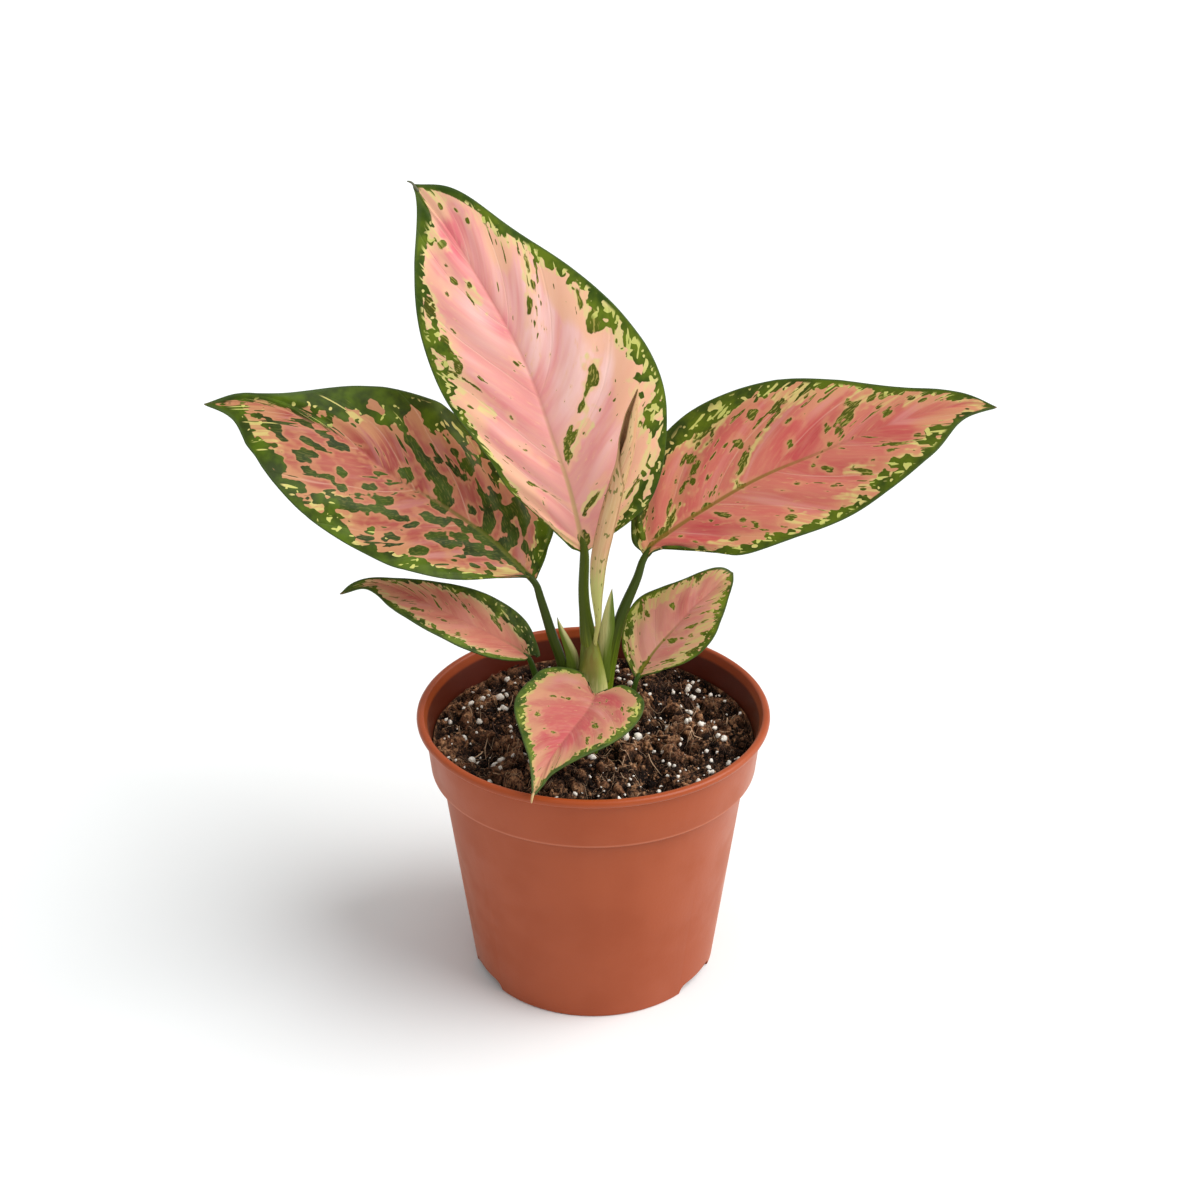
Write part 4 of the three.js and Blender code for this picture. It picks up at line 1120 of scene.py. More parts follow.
def sheath_material(name, turn):
    """Papery cream towards its free edge, green where it joins the stalk, with a brown tip."""
    g = Skin(name, roughness=0.5, specular_ior_level=0.2)
    blade = g.blade()
    parts = g.axes(blade)
    streak = g.noise(g.stretch(blade, (9.0, 6.0, 1.0)), 1.6, 3.0, 0.6)
    free = g.minus(1.0, parts["X"]) if turn else parts["X"]
    height = g.axes(g.place())["Z"]
    reach = g.plus(g.times(streak, 0.6, free), g.remap(height, 0.11, 0.13, 0.0, 0.5))
    colour = g.mix(g.remap(reach, 0.85, 1.6), srgb(92, 112, 30), srgb(212, 210, 146))
    colour = g.mix(g.remap(free, 0.94, 1.0, 0.0, 0.6), colour, srgb(176, 140, 92))
    tip = g.remap(parts["Y"], SHEATH_TIP - 0.02, SHEATH_TIP, 0.0, 0.8)
    return g.finished(g.mix(tip, colour, srgb(96, 78, 40)), streak, 0.3, 0.0003)


def sheath_piece(name, sheath):
    """A thin pointed sheath beside a stalk."""
    blade = Blade({**SHEATH_SHAPE, **sheath})
    piece, u, v = grid_piece(name, *SHEATH_GRID, lambda u, v: blade.surface(v, 2 * u - 1))
    set_uv(piece, "blade", u, v * SHEATH_TIP)
    return thicken(piece, SHEATH_THICKNESS)


def roll_piece(name):
    """The rolled leaf as one sheet wound up."""
    line = Path(ROLL["path"])

    def place(u, v):
        turn = u * lerp_row(ROLL["turns"], v)
        reach = lerp_row(ROLL["radii"], v) * (1 - 0.2 * turn)
        return line.around(v * line.length, np.radians(lerp_row(ROLL["edge"], v) - 360 * turn), reach)

    piece, u, v = grid_piece(name, *ROLL_GRID, place)
    set_uv(piece, "blade", u, v * line.length * UV_SCALE)
    edit(piece, (bpy.ops.mesh.flip_normals, {}))
    return thicken(piece, ROLL_THICKNESS, material_offset=1)


def roll_material(name, inside=False):
    """Beige skin with green flecks, pale green at its foot, browner down one side as painted shade, or the
    inside of the roll, painted dark olive as shade.
    """
    g = Skin(name, roughness=0.45, specular_ior_level=0.25)
    blade = g.blade()
    parts = g.axes(blade)
    streak = g.remap(g.noise(g.stretch(blade, (14.0, 1.5, 1.0)), 3.0, 3.0, 0.6), 0.4, 0.7)
    flecks = g.noise(g.stretch(blade, (1.1, 1.6, 1.0), (2.0, 0.4, 0.0)), 20.0, 1.5, 0.5)
    if inside:
        # Painted shade: the inside is coloured dark olive as the shade within the roll.
        colour = g.mix(streak, srgb(62, 50, 22), srgb(104, 96, 36))
        colour = g.mix(g.remap(flecks, 0.5, 0.6), colour, srgb(58, 52, 20))
        return g.finished(colour, streak, 0.2, 0.0003)
    wash = g.remap(g.noise(blade, 7.0, 3.0), 0.35, 0.65)
    colour = g.mix(wash, srgb(206, 168, 118), srgb(208, 154, 116))
    # Painted shade: a browner band down the side of the roll that turns from the light.
    painted_shade_side = g.math("ABSOLUTE", g.minus(parts["X"], 0.26))
    colour = g.mix(g.remap(painted_shade_side, 0.0, 0.09, 0.6, 0.0), colour, srgb(160, 118, 78))
    # More green where the roll opens.
    opening = g.math("ABSOLUTE", g.minus(parts["Y"], 0.62))
    flecks = g.plus(flecks, g.remap(opening, 0.03, 0.12, 0.06, 0.0))
    colour = g.mix(g.times(streak, 0.35), colour, srgb(230, 206, 160))
    low = g.times(streak, 0.08, parts["Y"])
    colour = g.mix(g.remap(low, 0.24, 0.44, 1.0, 0.0), colour, srgb(188, 190, 112))
    colour = g.mix(g.remap(flecks, 0.64, 0.67, 0.0, 0.85), colour, srgb(104, 108, 38))
    rim = g.most(g.remap(parts["X"], 0.0, 0.03, 0.8, 0.0), g.remap(parts["X"], 0.97, 1.0, 0.0, 0.8))
    return g.finished(g.mix(rim, colour, srgb(150, 116, 72)), streak, 0.2, 0.0003)


# The pot, in mm.
POT_HEIGHT = 98.0
RIM_RADIUS = 60.0
RIM_WIDTH = 2.7
COLLAR_TOP_RADIUS = 57.4
COLLAR_FOOT_RADIUS = 55.7
COLLAR_FOOT_HEIGHT = 78.7
BODY_TOP_RADIUS = 52.4
FOOT_RADIUS = 42.7
WALL = 1.4
NOTCH_ANGLES = (-62, 58, 178)
NOTCH_HEIGHT = 3.4
NOTCH_HALF_ANGLE = 12
NOTCH_INNER_RADIUS = 34
DRAIN_RADIUS = 3.2
FLOOR_DRAINS = 6
FLOOR_DRAIN_CIRCLE = 21


def on_circle(radius, angle):
    """A point round the pot, with the angle in degrees from the front, positive to the right."""
    turn = math.radians(angle - 90)
    return radius * math.cos(turn), radius * math.sin(turn)


def arc(centre, radius, start, end, count):
    """Points on an arc in the profile's plane, in degrees."""
    turns = [math.radians(start + (end - start) * i / count) for i in range(count + 1)]
    return [(centre[0] + radius * math.cos(t), centre[1] + radius * math.sin(t)) for t in turns]


def pot_profile():
    """The wall's section from the middle of the underside, round the lip, to the middle of the floor."""
    lip = POT_HEIGHT
    inner_rim = RIM_RADIUS - RIM_WIDTH
    return [
        (0, 0),
        *arc((FOOT_RADIUS - 0.8, 0.8), 0.8, -90, -6, 5),
        (BODY_TOP_RADIUS - 0.06, COLLAR_FOOT_HEIGHT - 2),
        *arc((BODY_TOP_RADIUS + 0.9, COLLAR_FOOT_HEIGHT - 1.6), 0.9, 175, 100, 4),
        *arc((COLLAR_FOOT_RADIUS - 0.35, COLLAR_FOOT_HEIGHT - 0.2), 0.35, -85, -4, 4),
        (COLLAR_TOP_RADIUS - 0.1, lip - 4.2),
        *arc((COLLAR_TOP_RADIUS + 1.1, lip - 3.6), 1.2, 190, 100, 3),
        *arc((RIM_RADIUS - 1.3, lip - 1.3), 1.3, -70, 90, 9),
        *arc((inner_rim + 1, lip - 1), 1, 90, 175, 5),
        (COLLAR_TOP_RADIUS - WALL, lip - 4),
        (COLLAR_FOOT_RADIUS - WALL, COLLAR_FOOT_HEIGHT + 1.2),
        (BODY_TOP_RADIUS - WALL, COLLAR_FOOT_HEIGHT - 0.6),
        (FOOT_RADIUS + 0.2 - WALL, WALL),
        (0, WALL),
    ]


def lathe(name, profile, columns):
    """Turns a profile of radius and height in mm round the Z axis."""
    deselect()
    bpy.ops.mesh.primitive_circle_add(vertices=3, radius=1, location=(0, 0, 0))
    piece = named(bpy.context.object, name)
    piece.data.clear_geometry()
    points = [(radius * MM, 0, height * MM) for radius, height in profile]
    piece.data.from_pydata(points, [(i, i + 1) for i in range(len(points) - 1)], [])
    edit(
        piece,
        (bpy.ops.mesh.spin, {"steps": columns, "angle": 2 * math.pi, "center": (0, 0, 0),
                             "axis": (0, 0, 1)}),
    )
    close_seams(piece)
    return piece


def block(name, inner, outer, low, high, angle, half_angle, corner):
    """A block between two radii, its upper corners rounded, turned to its angle round the pot."""
    width = 2 * (inner + outer) / 2 * math.tan(math.radians(half_angle))
    deselect()
    bpy.ops.mesh.primitive_cube_add(size=1, location=(0, 0, 0))
    piece = named(bpy.context.object, name)
    points = points_of(piece) * MM
    points = (points + 0.5) * (outer - inner, width, high - low) + (inner, -width / 2, low)
    set_points(piece, points)
    if corner:
        edges = piece.data.attributes.new("bevel_weight_edge", "FLOAT", "EDGE")
        for edge in piece.data.edges:
            first, last = (piece.data.vertices[i].co / MM for i in edge.vertices)
            lies_along = abs(first.x - last.x) > 1
            edges.data[edge.index].value = float(lies_along and min(first.z, last.z) > high - 0.1)
        apply_modifier(
            piece, "BEVEL", width=corner * MM, segments=6, limit_method="WEIGHT", profile=0.5
        )
    turn = Matrix.Rotation(math.radians(angle - 90), 4, "Z")
    piece.data.transform(turn)
    return piece


def drain(name, x, y):
    """A cutter for one drain hole."""
    top = NOTCH_HEIGHT + WALL + 1
    deselect()
    bpy.ops.mesh.primitive_cylinder_add(
        vertices=32, radius=DRAIN_RADIUS * MM, depth=(top + 1) * MM, location=(0, 0, 0)
    )
    piece = named(bpy.context.object, name)
    piece.data.transform(Matrix.Translation((x * MM, y * MM, (top - 1) / 2 * MM)))
    return piece


def boolean(piece, other, operation):
    """Joins or cuts a piece with another and removes that one."""
    apply_modifier(piece, "BOOLEAN", object=other, operation=operation, solver="EXACT")
    bpy.data.objects.remove(other, do_unlink=True)


def pot_material(settings):
    """Moulded terracotta coloured plastic: satin, faintly mottled, with fine scuffs, painted shade inside
    and under the collar, and a painted highlight on the collar's edge.
    """
    g = Skin(
        "pot_plastic", roughness=0.4, specular_ior_level=0.36, sheen_weight=0.1,
        sheen_roughness=0.4, sheen_tint=(1.0, 0.6, 0.3, 1.0),
    )
    place = g.place()
    height = g.axes(place)["Z"]
    lip = POT_HEIGHT * MM
    ledge = COLLAR_FOOT_HEIGHT * MM
    cloud = g.remap(g.noise(place, 38.0, 3.0, 0.55), 0.35, 0.68)
    colour = g.mix(g.times(cloud, 0.4), tuple(settings.colour) + (1,), srgb(150, 61, 19))
    flow = g.noise(g.stretch(place, (30.0, 30.0, 7.0)), 1.0, 3.0, 0.5, 0.6)
    colour = g.mix(g.remap(flow, 0.45, 0.75, 0.0, 0.16), colour, srgb(188, 98, 60))
    # Painted shade on the inside wall, from just under the lip down, deepening over the first 2.5 mm.
    flat = g.vectors("LENGTH", {0: g.stretch(place, (1.0, 1.0, 0.0))}, "Value")
    slope = (COLLAR_TOP_RADIUS - COLLAR_FOOT_RADIUS) / (POT_HEIGHT - COLLAR_FOOT_HEIGHT)
    middle = (COLLAR_TOP_RADIUS - WALL / 2 - slope * POT_HEIGHT) * MM
    inner = g.remap(g.times(height, -slope, flat), middle - 0.2 * MM, middle + 0.2 * MM, 1.0, 0.0)
    inner = g.times(inner, g.remap(height, ledge + 1.8 * MM, ledge + 2.3 * MM))
    deep = g.remap(height, lip - 0.6 * MM, lip - 2.5 * MM, 0.4, 1.0)
    # Painted shade: the inside wall is mixed towards a dark red brown.
    colour = g.mix(g.times(inner, deep), colour, srgb(92, 31, 14))
    # The ledge under the collar: a painted highlight along its edge and painted shade in the corner below.
    outer = g.times(g.minus(1.0, inner), 0.3)

    def band(*edges):
        """A band round the outside that starts and ends between these heights in mm over the ledge."""
        start, full, end, last = (ledge + edge * MM for edge in edges)
        return g.times(g.times(g.remap(height, start, full), g.remap(height, end, last)), outer)

    # Painted highlight: a pale line along the collar's lower edge.
    colour = g.mix(band(-0.5, -0.2, 0.5, 0), colour, srgb(216, 136, 104))
    # Painted shade: a dark band on the body just under the ledge.
    colour = g.mix(band(-4.2, -1.5, -0.3, -0.5), colour, srgb(92, 32, 12))
    g.link(g.sockets["Roughness"], g.remap(cloud, 0.0, 1.0, 0.36, 0.5))
    return g.finished(colour, g.noise(place, 900.0, 3.0, 0.6), 0.12, 0.0003)


# The soil, in mm.
SOIL_HEIGHT = 87.6
SOIL_GAP = 0.45
MOUND_HEIGHT = 1.6
MOUND_SPREAD = 500
CLOD_COUNT = 60
CLOD_HEIGHT = 1.7
SOIL_TOP_RADIUS = COLLAR_FOOT_RADIUS + 0.7 - WALL - SOIL_GAP
SOIL_FLOOR = NOTCH_HEIGHT + WALL + 0.4
SOIL_COLUMNS = 460
SOIL_TOP_ROWS = 140

# What the random draws start from: the clods, as in the solids, the bends of the cracks between them,
# and what is strewn on the soil.
CLOD_SEED = 11
CRACK_SEED = 1795622644
STREWN_SEED = 7

# Pits between the clods: x, y, radius and depth.
PITS = [(-33, -14, 6, 5), (19, -26, 5, 4.5), (-3, -37, 5, 4), (30, -8, 5, 3.5), (-20, 14, 6, 3),
        (38, 12, 5, 3), (8, -18, 4, 3)]


def seeded_random(seed):
    """The same steady row of random numbers as the solids use."""
    state = seed

    def draw():
        nonlocal state
        state = (state * 1664525 + 1013904223) % 4294967296
        return state / 4294967296

    return draw


def soil_clods():
    """Where the soil swells and sinks, as in the solid."""
    draw = seeded_random(CLOD_SEED)
    clods = []
    for _ in range(CLOD_COUNT):
        reach = 52 * math.sqrt(draw())
        x, y = on_circle(reach, 360 * draw())
        radius = 4 + 6 * draw()
        clods.append((x, y, radius, CLOD_HEIGHT * (draw() * 2 - 1)))
    return clods


def soil_height(x, y):
    """The soil's main shape at points in mm."""
    height = SOIL_HEIGHT + MOUND_HEIGHT * np.exp(-(x * x + y * y) / MOUND_SPREAD)
    for clod_x, clod_y, radius, rise in soil_clods():
        height = height + rise * np.exp(-((x - clod_x) ** 2 + (y - clod_y) ** 2) / radius**2)
    for pit_x, pit_y, radius, depth in PITS:
        height = height - depth * np.exp(-((x - pit_x) ** 2 + (y - pit_y) ** 2) / radius**2)
    return height


def soil_crumble(points):
    """Clods with deep gaps between them, and crumbs on their faces, in mm."""
    noise.seed_set(CRACK_SEED)
    rise = np.empty(len(points))
    for i, (x, y, _z) in enumerate(points):
        bend = noise.noise_vector(Vector((x * 0.12, y * 0.12, 2.0)))
        spot = Vector((x * 0.12, y * 0.12, 5.0)) + bend * 0.35
        near, centres = noise.voronoi(spot)
        gap = min((near[1] - near[0]) / 0.3, 1)
        clod = gap * (2 - gap) * (0.9 + 2.4 * noise.cell(centres[0] * 7.3)) - 1.7
        lump = noise.fractal(Vector((x * 0.3, y * 0.3, 3.0)), 0.7, 2.1, 4)
        crumb = noise.noise(Vector((x * 1.1, y * 1.1, 8.0)))
        cell = noise.voronoi(Vector((x * 0.42, y * 0.42, 1.0)))[0][0]
        rise[i] = 1.35 * clod + 1.1 * lump + 0.5 * crumb + 1.1 * (0.45 - cell)
    return rise


def soil_piece():
    """The soil with its crumbling face, down to the pot's floor."""
    wall = [
        (COLLAR_FOOT_RADIUS - WALL - SOIL_GAP, COLLAR_FOOT_HEIGHT + 1.5),
        (BODY_TOP_RADIUS - WALL - SOIL_GAP, COLLAR_FOOT_HEIGHT - 0.4),
        (FOOT_RADIUS - WALL - SOIL_GAP, SOIL_FLOOR),
        (NOTCH_INNER_RADIUS - 3, SOIL_FLOOR),
        (0, SOIL_FLOOR),
    ]
    rows = SOIL_TOP_ROWS + len(wall)

    def place(u, v):
        row = np.rint(v * rows).astype(int)
        turn = 2 * math.pi * u
        radius = SOIL_TOP_RADIUS * np.minimum(row / SOIL_TOP_ROWS, 1)
        x, y = radius * np.cos(turn), radius * np.sin(turn)
        z = soil_height(x, y)
        top = row <= SOIL_TOP_ROWS
        face = np.stack([x, y, z], axis=-1)
        steady = smooth_step(SOIL_TOP_RADIUS, SOIL_TOP_RADIUS - 1.5, radius)
        face[top, 2] += soil_crumble(face[top]) * steady[top]
        for step, (radius, height) in enumerate(wall, start=1):
            ring = row == SOIL_TOP_ROWS + step
            face[ring, 0] = radius * np.cos(turn[ring])
            face[ring, 1] = radius * np.sin(turn[ring])
            face[ring, 2] = height
        return face

    piece, _u, _v = grid_piece("soil_bed", SOIL_COLUMNS, rows, place)
    close_seams(piece)
    points = points_of(piece)
    base = soil_height(points[:, 0], points[:, 1])
    # The tone falls in the hollows of the crumbling face, and the soil's material darkens with it as
    # painted shade in the gaps.
    set_attribute(piece, "tone", smooth_step(-2.6, 1.8, points[:, 2] - base))
    smooth(piece, 60)
    return piece


def ground(x, y):
    """The height of the crumbling soil at one spot in mm."""
    height = float(soil_height(np.array([x]), np.array([y]))[0])
    return height + float(soil_crumble([(x, y, 0)])[0])


def grain_mesh(subdivisions, rough, seed):
    """The points and faces of one rough grain of radius 1."""
    deselect()
    bpy.ops.mesh.primitive_ico_sphere_add(subdivisions=subdivisions, radius=1 * MM)
    piece = bpy.context.object
    points = points_of(piece)
    shift = Vector((seed, seed * 0.7, seed * 1.3))
    lumps = [1 + rough * noise.fractal(Vector(p) * 1.1 + shift, 0.8, 2.0, 3) for p in points]
    faces = np.empty(len(piece.data.polygons) * 3, dtype=np.int32)
    piece.data.polygons.foreach_get("vertices", faces)
    bpy.data.objects.remove(piece, do_unlink=True)
    return points * np.array(lumps)[:, None], faces.reshape(-1, 3)


def scatter(name, shapes, places):
    """Many copies of a few shapes as one mesh. Each place is a shape number, a 3x3 matrix and a point."""
    points, faces, tones, count = [], [], [], 0
    for i, (shape, matrix, centre) in enumerate(places):
        verts, tris = shapes[shape]
        points.append(verts @ matrix.T + centre)
        faces.append(tris + count)
        tones.append(np.full(len(verts), (i * GOLDEN_PART) % 1))
        count += len(verts)
    piece = mesh_piece(name, np.concatenate(points), np.concatenate(faces).tolist())
    set_attribute(piece, "tone", np.concatenate(tones))
    smooth(piece)
    return piece


def bar_faces(steps, sides):
    """The faces of a bar made of rings of points, with both its ends."""
    faces = []
    for ring in range(0, steps * sides, sides):
        for k in range(sides):
            a, b = ring + k, ring + (k + 1) % sides
            faces.append((a, b, b + sides, a + sides))
    faces.append(tuple(reversed(range(sides))))
    faces.append(tuple(steps * sides + k for k in range(sides)))
    return faces


def turned(random, scale):
    """A random turn with a scale along each axis."""
    angles = random.uniform(0, 2 * math.pi, 3)
    matrix = np.eye(3)
    for axis, angle in zip("XYZ", angles):
        matrix = np.array(Matrix.Rotation(angle, 3, axis)) @ matrix
    return matrix @ np.diag(scale)


def free_spots(random, count, reach, keep=()):
    """Random spots on the soil, clear of the listed x, y, radius."""
    spots = []
    while len(spots) < count:
        radius = reach * math.sqrt(random.uniform(0, 1))
        x, y = on_circle(radius, random.uniform(0, 360))
        if all(math.hypot(x - kx, y - ky) > kr for kx, ky, kr in keep):
            spots.append((x, y))
    return np.array(spots)


# Spots kept clear round the stems: x, y and radius.
STEMS = [(0, 0, 8), (-8, 3, 4), (-13, 7.6, 3), (10, 3, 3), (0.2, -7.5, 3)]

# Tones spread evenly over the crumbs and grains, because this share never repeats.
GOLDEN_PART = 0.618

# The largest white grains: x, y and radius.
LARGE_GRAINS = [
    (-33, 24, 1.5), (-31, 18, 1), (-26.6, -1.5, 1), (6.4, 24, 1.3), (11, -3.6, 1.7), (15.3, 1.2, 1.2),
    (25.6, 9, 1.2), (37, 5, 1.2), (32, 3, 1), (41.5, 10.5, 1.1), (-0.5, -18, 1.2), (7.8, -18.4, 1),
    (-9.4, -17.8, 1.1), (-14, -19, 1), (-3.8, -13.5, 1.1), (-23.5, -12.5, 1.1), (-30.6, -13.6, 1.2),
    (-44.6, 0, 1.2), (-39, -11.6, 1),
]


def soil_material():
    """Dark peat and coir: brown crumbs, lighter fibres, matt, with painted shade in the hollows."""
    g = Skin("potting_soil", roughness=0.95, specular_ior_level=0.2)
    place = g.place()
    tone = g.stored("tone")
    # Darker where the stored tone is low: painted shade in the soil bed's hollows, and a random tone on
    # each loose crumb.
    broad = g.remap(g.times(tone, 0.4, g.noise(place, 120.0, 4.0, 0.6)), 0.5, 0.95)
    colour = g.mix(broad, srgb(26, 16, 11), srgb(126, 86, 60))
    warm = g.remap(g.times(tone, 0.2, g.noise(place, 340.0, 3.0, 0.6)), 0.6, 0.8)
    colour = g.mix(warm, colour, srgb(196, 146, 106))
    dark = g.remap(g.noise(place, 600.0, 2.0, 0.6), 0.36, 0.5, 0.7, 0.0)
    colour = g.mix(dark, colour, srgb(22, 14, 10))
    grit = g.noise(place, 1500.0, 3.0, 0.7)
    colour = g.mix(g.remap(grit, 0.4, 0.52, 0.6, 0.0), colour, srgb(20, 12, 9))
    colour = g.mix(g.remap(grit, 0.58, 0.68, 0.0, 0.6), colour, srgb(186, 132, 98))
    return g.finished(colour, g.noise(place, 1300.0, 4.0, 0.7), 0.7, 0.0008)


def perlite_material():
    """Chalky white expanded mineral grains, a little stained by the peat."""
    g = Skin("perlite", roughness=0.8, specular_ior_level=0.3)
    place = g.place()
    stain = g.remap(g.noise(place, 500.0, 3.0, 0.6), 0.55, 0.8, 0.0, 0.5)
    colour = g.mix(stain, srgb(255, 250, 238), srgb(206, 176, 142))
    return g.finished(colour, g.noise(place, 1800.0, 3.0, 0.6), 0.5, 0.0004)


def fibre_material():
    """Fine dry roots, from straw to dark brown."""
    g = Skin("root_fibre", roughness=0.75)
    tone = g.remap(g.noise(g.place(), 60.0, 2.0), 0.4, 0.62)
    return g.finished(g.mix(tone, srgb(78, 48, 32), srgb(214, 178, 142)))


# Settings, operators and the panel.


class EvergreenPlantSettings(bpy.types.PropertyGroup):
    ragged: bpy.props.FloatProperty(
        name="Ragged edges", description="How far the green breaks into the pink", default=1.0,
        min=0.0, max=3.0,
    )
    flecks: bpy.props.FloatProperty(
        name="Flecks", description="How many small green flecks lie on the pink", default=1.0,
        min=0.0, max=3.0,
    )


class EvergreenPotSettings(bpy.types.PropertyGroup):
    colour: bpy.props.FloatVectorProperty(
        name="Plastic", description="Colour of the moulded plastic", subtype="COLOR", size=3,
        default=srgb(164, 70, 22)[:3], min=0.0, max=1.0,
    )
    sides: bpy.props.IntProperty(
        name="Sides", description="Steps round the pot", default=192, min=48, max=384,
    )


class EvergreenSoilSettings(bpy.types.PropertyGroup):
    crumbs: bpy.props.IntProperty(
        name="Crumbs", description="Loose crumbs of peat", default=3600, min=0, max=6000,
    )
    grains: bpy.props.IntProperty(
        name="White grains", description="Grains of perlite", default=280, min=0, max=600,
    )
    fibres: bpy.props.IntProperty(
        name="Fibres", description="Fine roots on the soil", default=620, min=0, max=1500,
    )


class EvergreenStageSettings(bpy.types.PropertyGroup):
    key_strength: bpy.props.FloatProperty(
        name="Key light", description="Strength of the soft light on the right", default=2.6,
        min=0.0,
    )
    rim_strength: bpy.props.FloatProperty(
        name="Rim light", description="Strength of the weak light behind on the right", default=0.55,
        min=0.0,
    )
    key_height: bpy.props.FloatProperty(
        name="Key height", description="How high the soft light stands over the floor",
        subtype="ANGLE", default=math.radians(49),
    )
    key_softness: bpy.props.FloatProperty(
        name="Key softness", description="How wide the soft light looks from the plant",
        subtype="ANGLE", default=math.radians(50),
    )
    surroundings: bpy.props.FloatProperty(
        name="Surroundings", description="Brightness of the white surroundings", default=0.54,
        min=0.0,
    )


class EVERGREEN_OT_pot(bpy.types.Operator):
    """Turns the pot's wall and cuts its foot notches and drain holes"""

    bl_idname = "evergreen.make_pot"
    bl_label = "Make Pot"

    def execute(self, context):
        settings = context.scene.evergreen_pot
        pot = lathe("nursery_pot", pot_profile(), settings.sides)
        for angle in NOTCH_ANGLES:
            step = block(
                "floor_step", NOTCH_INNER_RADIUS - WALL, FOOT_RADIUS - 1.1, 0.2,
                NOTCH_HEIGHT + WALL, angle, NOTCH_HALF_ANGLE + 2.4, 0,
            )
            boolean(pot, step, "UNION")
            room = block(
                "notch", NOTCH_INNER_RADIUS, RIM_RADIUS, -4, NOTCH_HEIGHT, angle,
                NOTCH_HALF_ANGLE, 3.0,
            )
            boolean(pot, room, "DIFFERENCE")
            boolean(pot, drain("drain", *on_circle(NOTCH_INNER_RADIUS + 3.8, angle)), "DIFFERENCE")
        for i in range(FLOOR_DRAINS):
            place = on_circle(FLOOR_DRAIN_CIRCLE, 30 + i * 360 / FLOOR_DRAINS)
            boolean(pot, drain("drain", *place), "DIFFERENCE")
        smooth(pot, 35)
        finish_piece(pot, "pot", pot_material(settings), replaces="pot")
        return {"FINISHED"}


class EVERGREEN_OT_soil(bpy.types.Operator):
    """Fills the pot with crumbling soil, loose crumbs, white grains and fine roots"""

    bl_idname = "evergreen.make_soil"
    bl_label = "Make Soil"

    def execute(self, context):
        settings = context.scene.evergreen_soil
        earth = soil_material()
        finish_piece(soil_piece(), "soil", earth, replaces="soil")
        random = np.random.default_rng(STREWN_SEED)
        self.add_crumbs(random, settings.crumbs, earth)
        self.add_grains(random, settings.grains)
        self.add_fibres(random, settings.fibres)
        return {"FINISHED"}

    def add_crumbs(self, random, count, earth):
        shapes = [grain_mesh(1, 0.5, seed) for seed in range(5)]
        shapes += [grain_mesh(2, 0.6, 40 + seed) for seed in range(4)]
        places = []
        for i, (x, y) in enumerate(free_spots(random, count, SOIL_TOP_RADIUS - 1.5, STEMS)):
            large = i % 7 == 0
            size = random.uniform(0.8, 1.6) if large else 0.28 + 0.55 * random.uniform() ** 2
            long = (1.9, 0.45, 0.3) if i % 3 == 0 else random.uniform(0.7, 1.3, 3)
            matrix = turned(random, size * np.array(long))
            shape = int(random.integers(5, 9) if large else random.integers(5))
            places.append((shape, matrix, (x, y, ground(x, y) + random.uniform(-0.1, 0.5))))
        finish_piece(scatter("soil_crumbs", shapes, places), "soil", earth)

    def add_grains(self, random, count):
        shapes = [grain_mesh(2, 0.55, 20 + seed) for seed in range(4)]
        places = []

        def add(x, y, size, spread, rise):
            matrix = turned(random, size * random.uniform(*spread, 3))
            places.append((int(random.integers(4)), matrix, (x, y, ground(x, y) + rise)))

        for x, y in free_spots(random, count, SOIL_TOP_RADIUS - 2, STEMS):
            size = 0.3 + 0.75 * random.uniform() ** 2.4
            add(x, y, size, (0.65, 1.4), 0.75 + 0.4 * size)
        for x, y, size in LARGE_GRAINS:
            add(x, y, size, (0.7, 1.25), 0.4 + 0.6 * size)
        finish_piece(scatter("perlite_grains", shapes, places), "soil", perlite_material())

    def add_fibres(self, random, count):
        points, faces = [], []
        steps, sides = 7, 3
        rings = bar_faces(steps, sides)
        edge = SOIL_TOP_RADIUS - 1
        for x, y in free_spots(random, count, SOIL_TOP_RADIUS - 4, STEMS):
            length = random.uniform(3, 11)
            heading = random.uniform(0, 2 * math.pi)
            bend = random.uniform(-2.4, 2.4)
            radius = 0.08 + 0.26 * random.uniform() ** 3
            arch = random.uniform(0, 1.2)
            faces += [tuple(len(points) + corner for corner in face) for face in rings]
            spot = np.array([x, y])
            for i in range(steps + 1):
                share = i / steps
                turn = heading + bend * share
                spot = spot + np.array([math.cos(turn), math.sin(turn)]) * length / steps
                spot *= min(edge / np.hypot(*spot), 1)
                z = ground(*spot) + 0.15 + arch * math.sin(math.pi * share)
                slim = radius * (1 - 0.6 * share)
                for angle in np.arange(sides) * 2 * math.pi / sides:
                    out = slim * math.cos(angle)
                    side = (-math.sin(turn) * out, math.cos(turn) * out, slim * math.sin(angle))
                    points.append(np.array([*spot, z]) + side)
        piece = mesh_piece("soil_fibres", points, faces)
        edit(piece, (bpy.ops.mesh.normals_make_consistent, {"inside": False}))
        smooth(piece)
        finish_piece(piece, "soil", fibre_material())


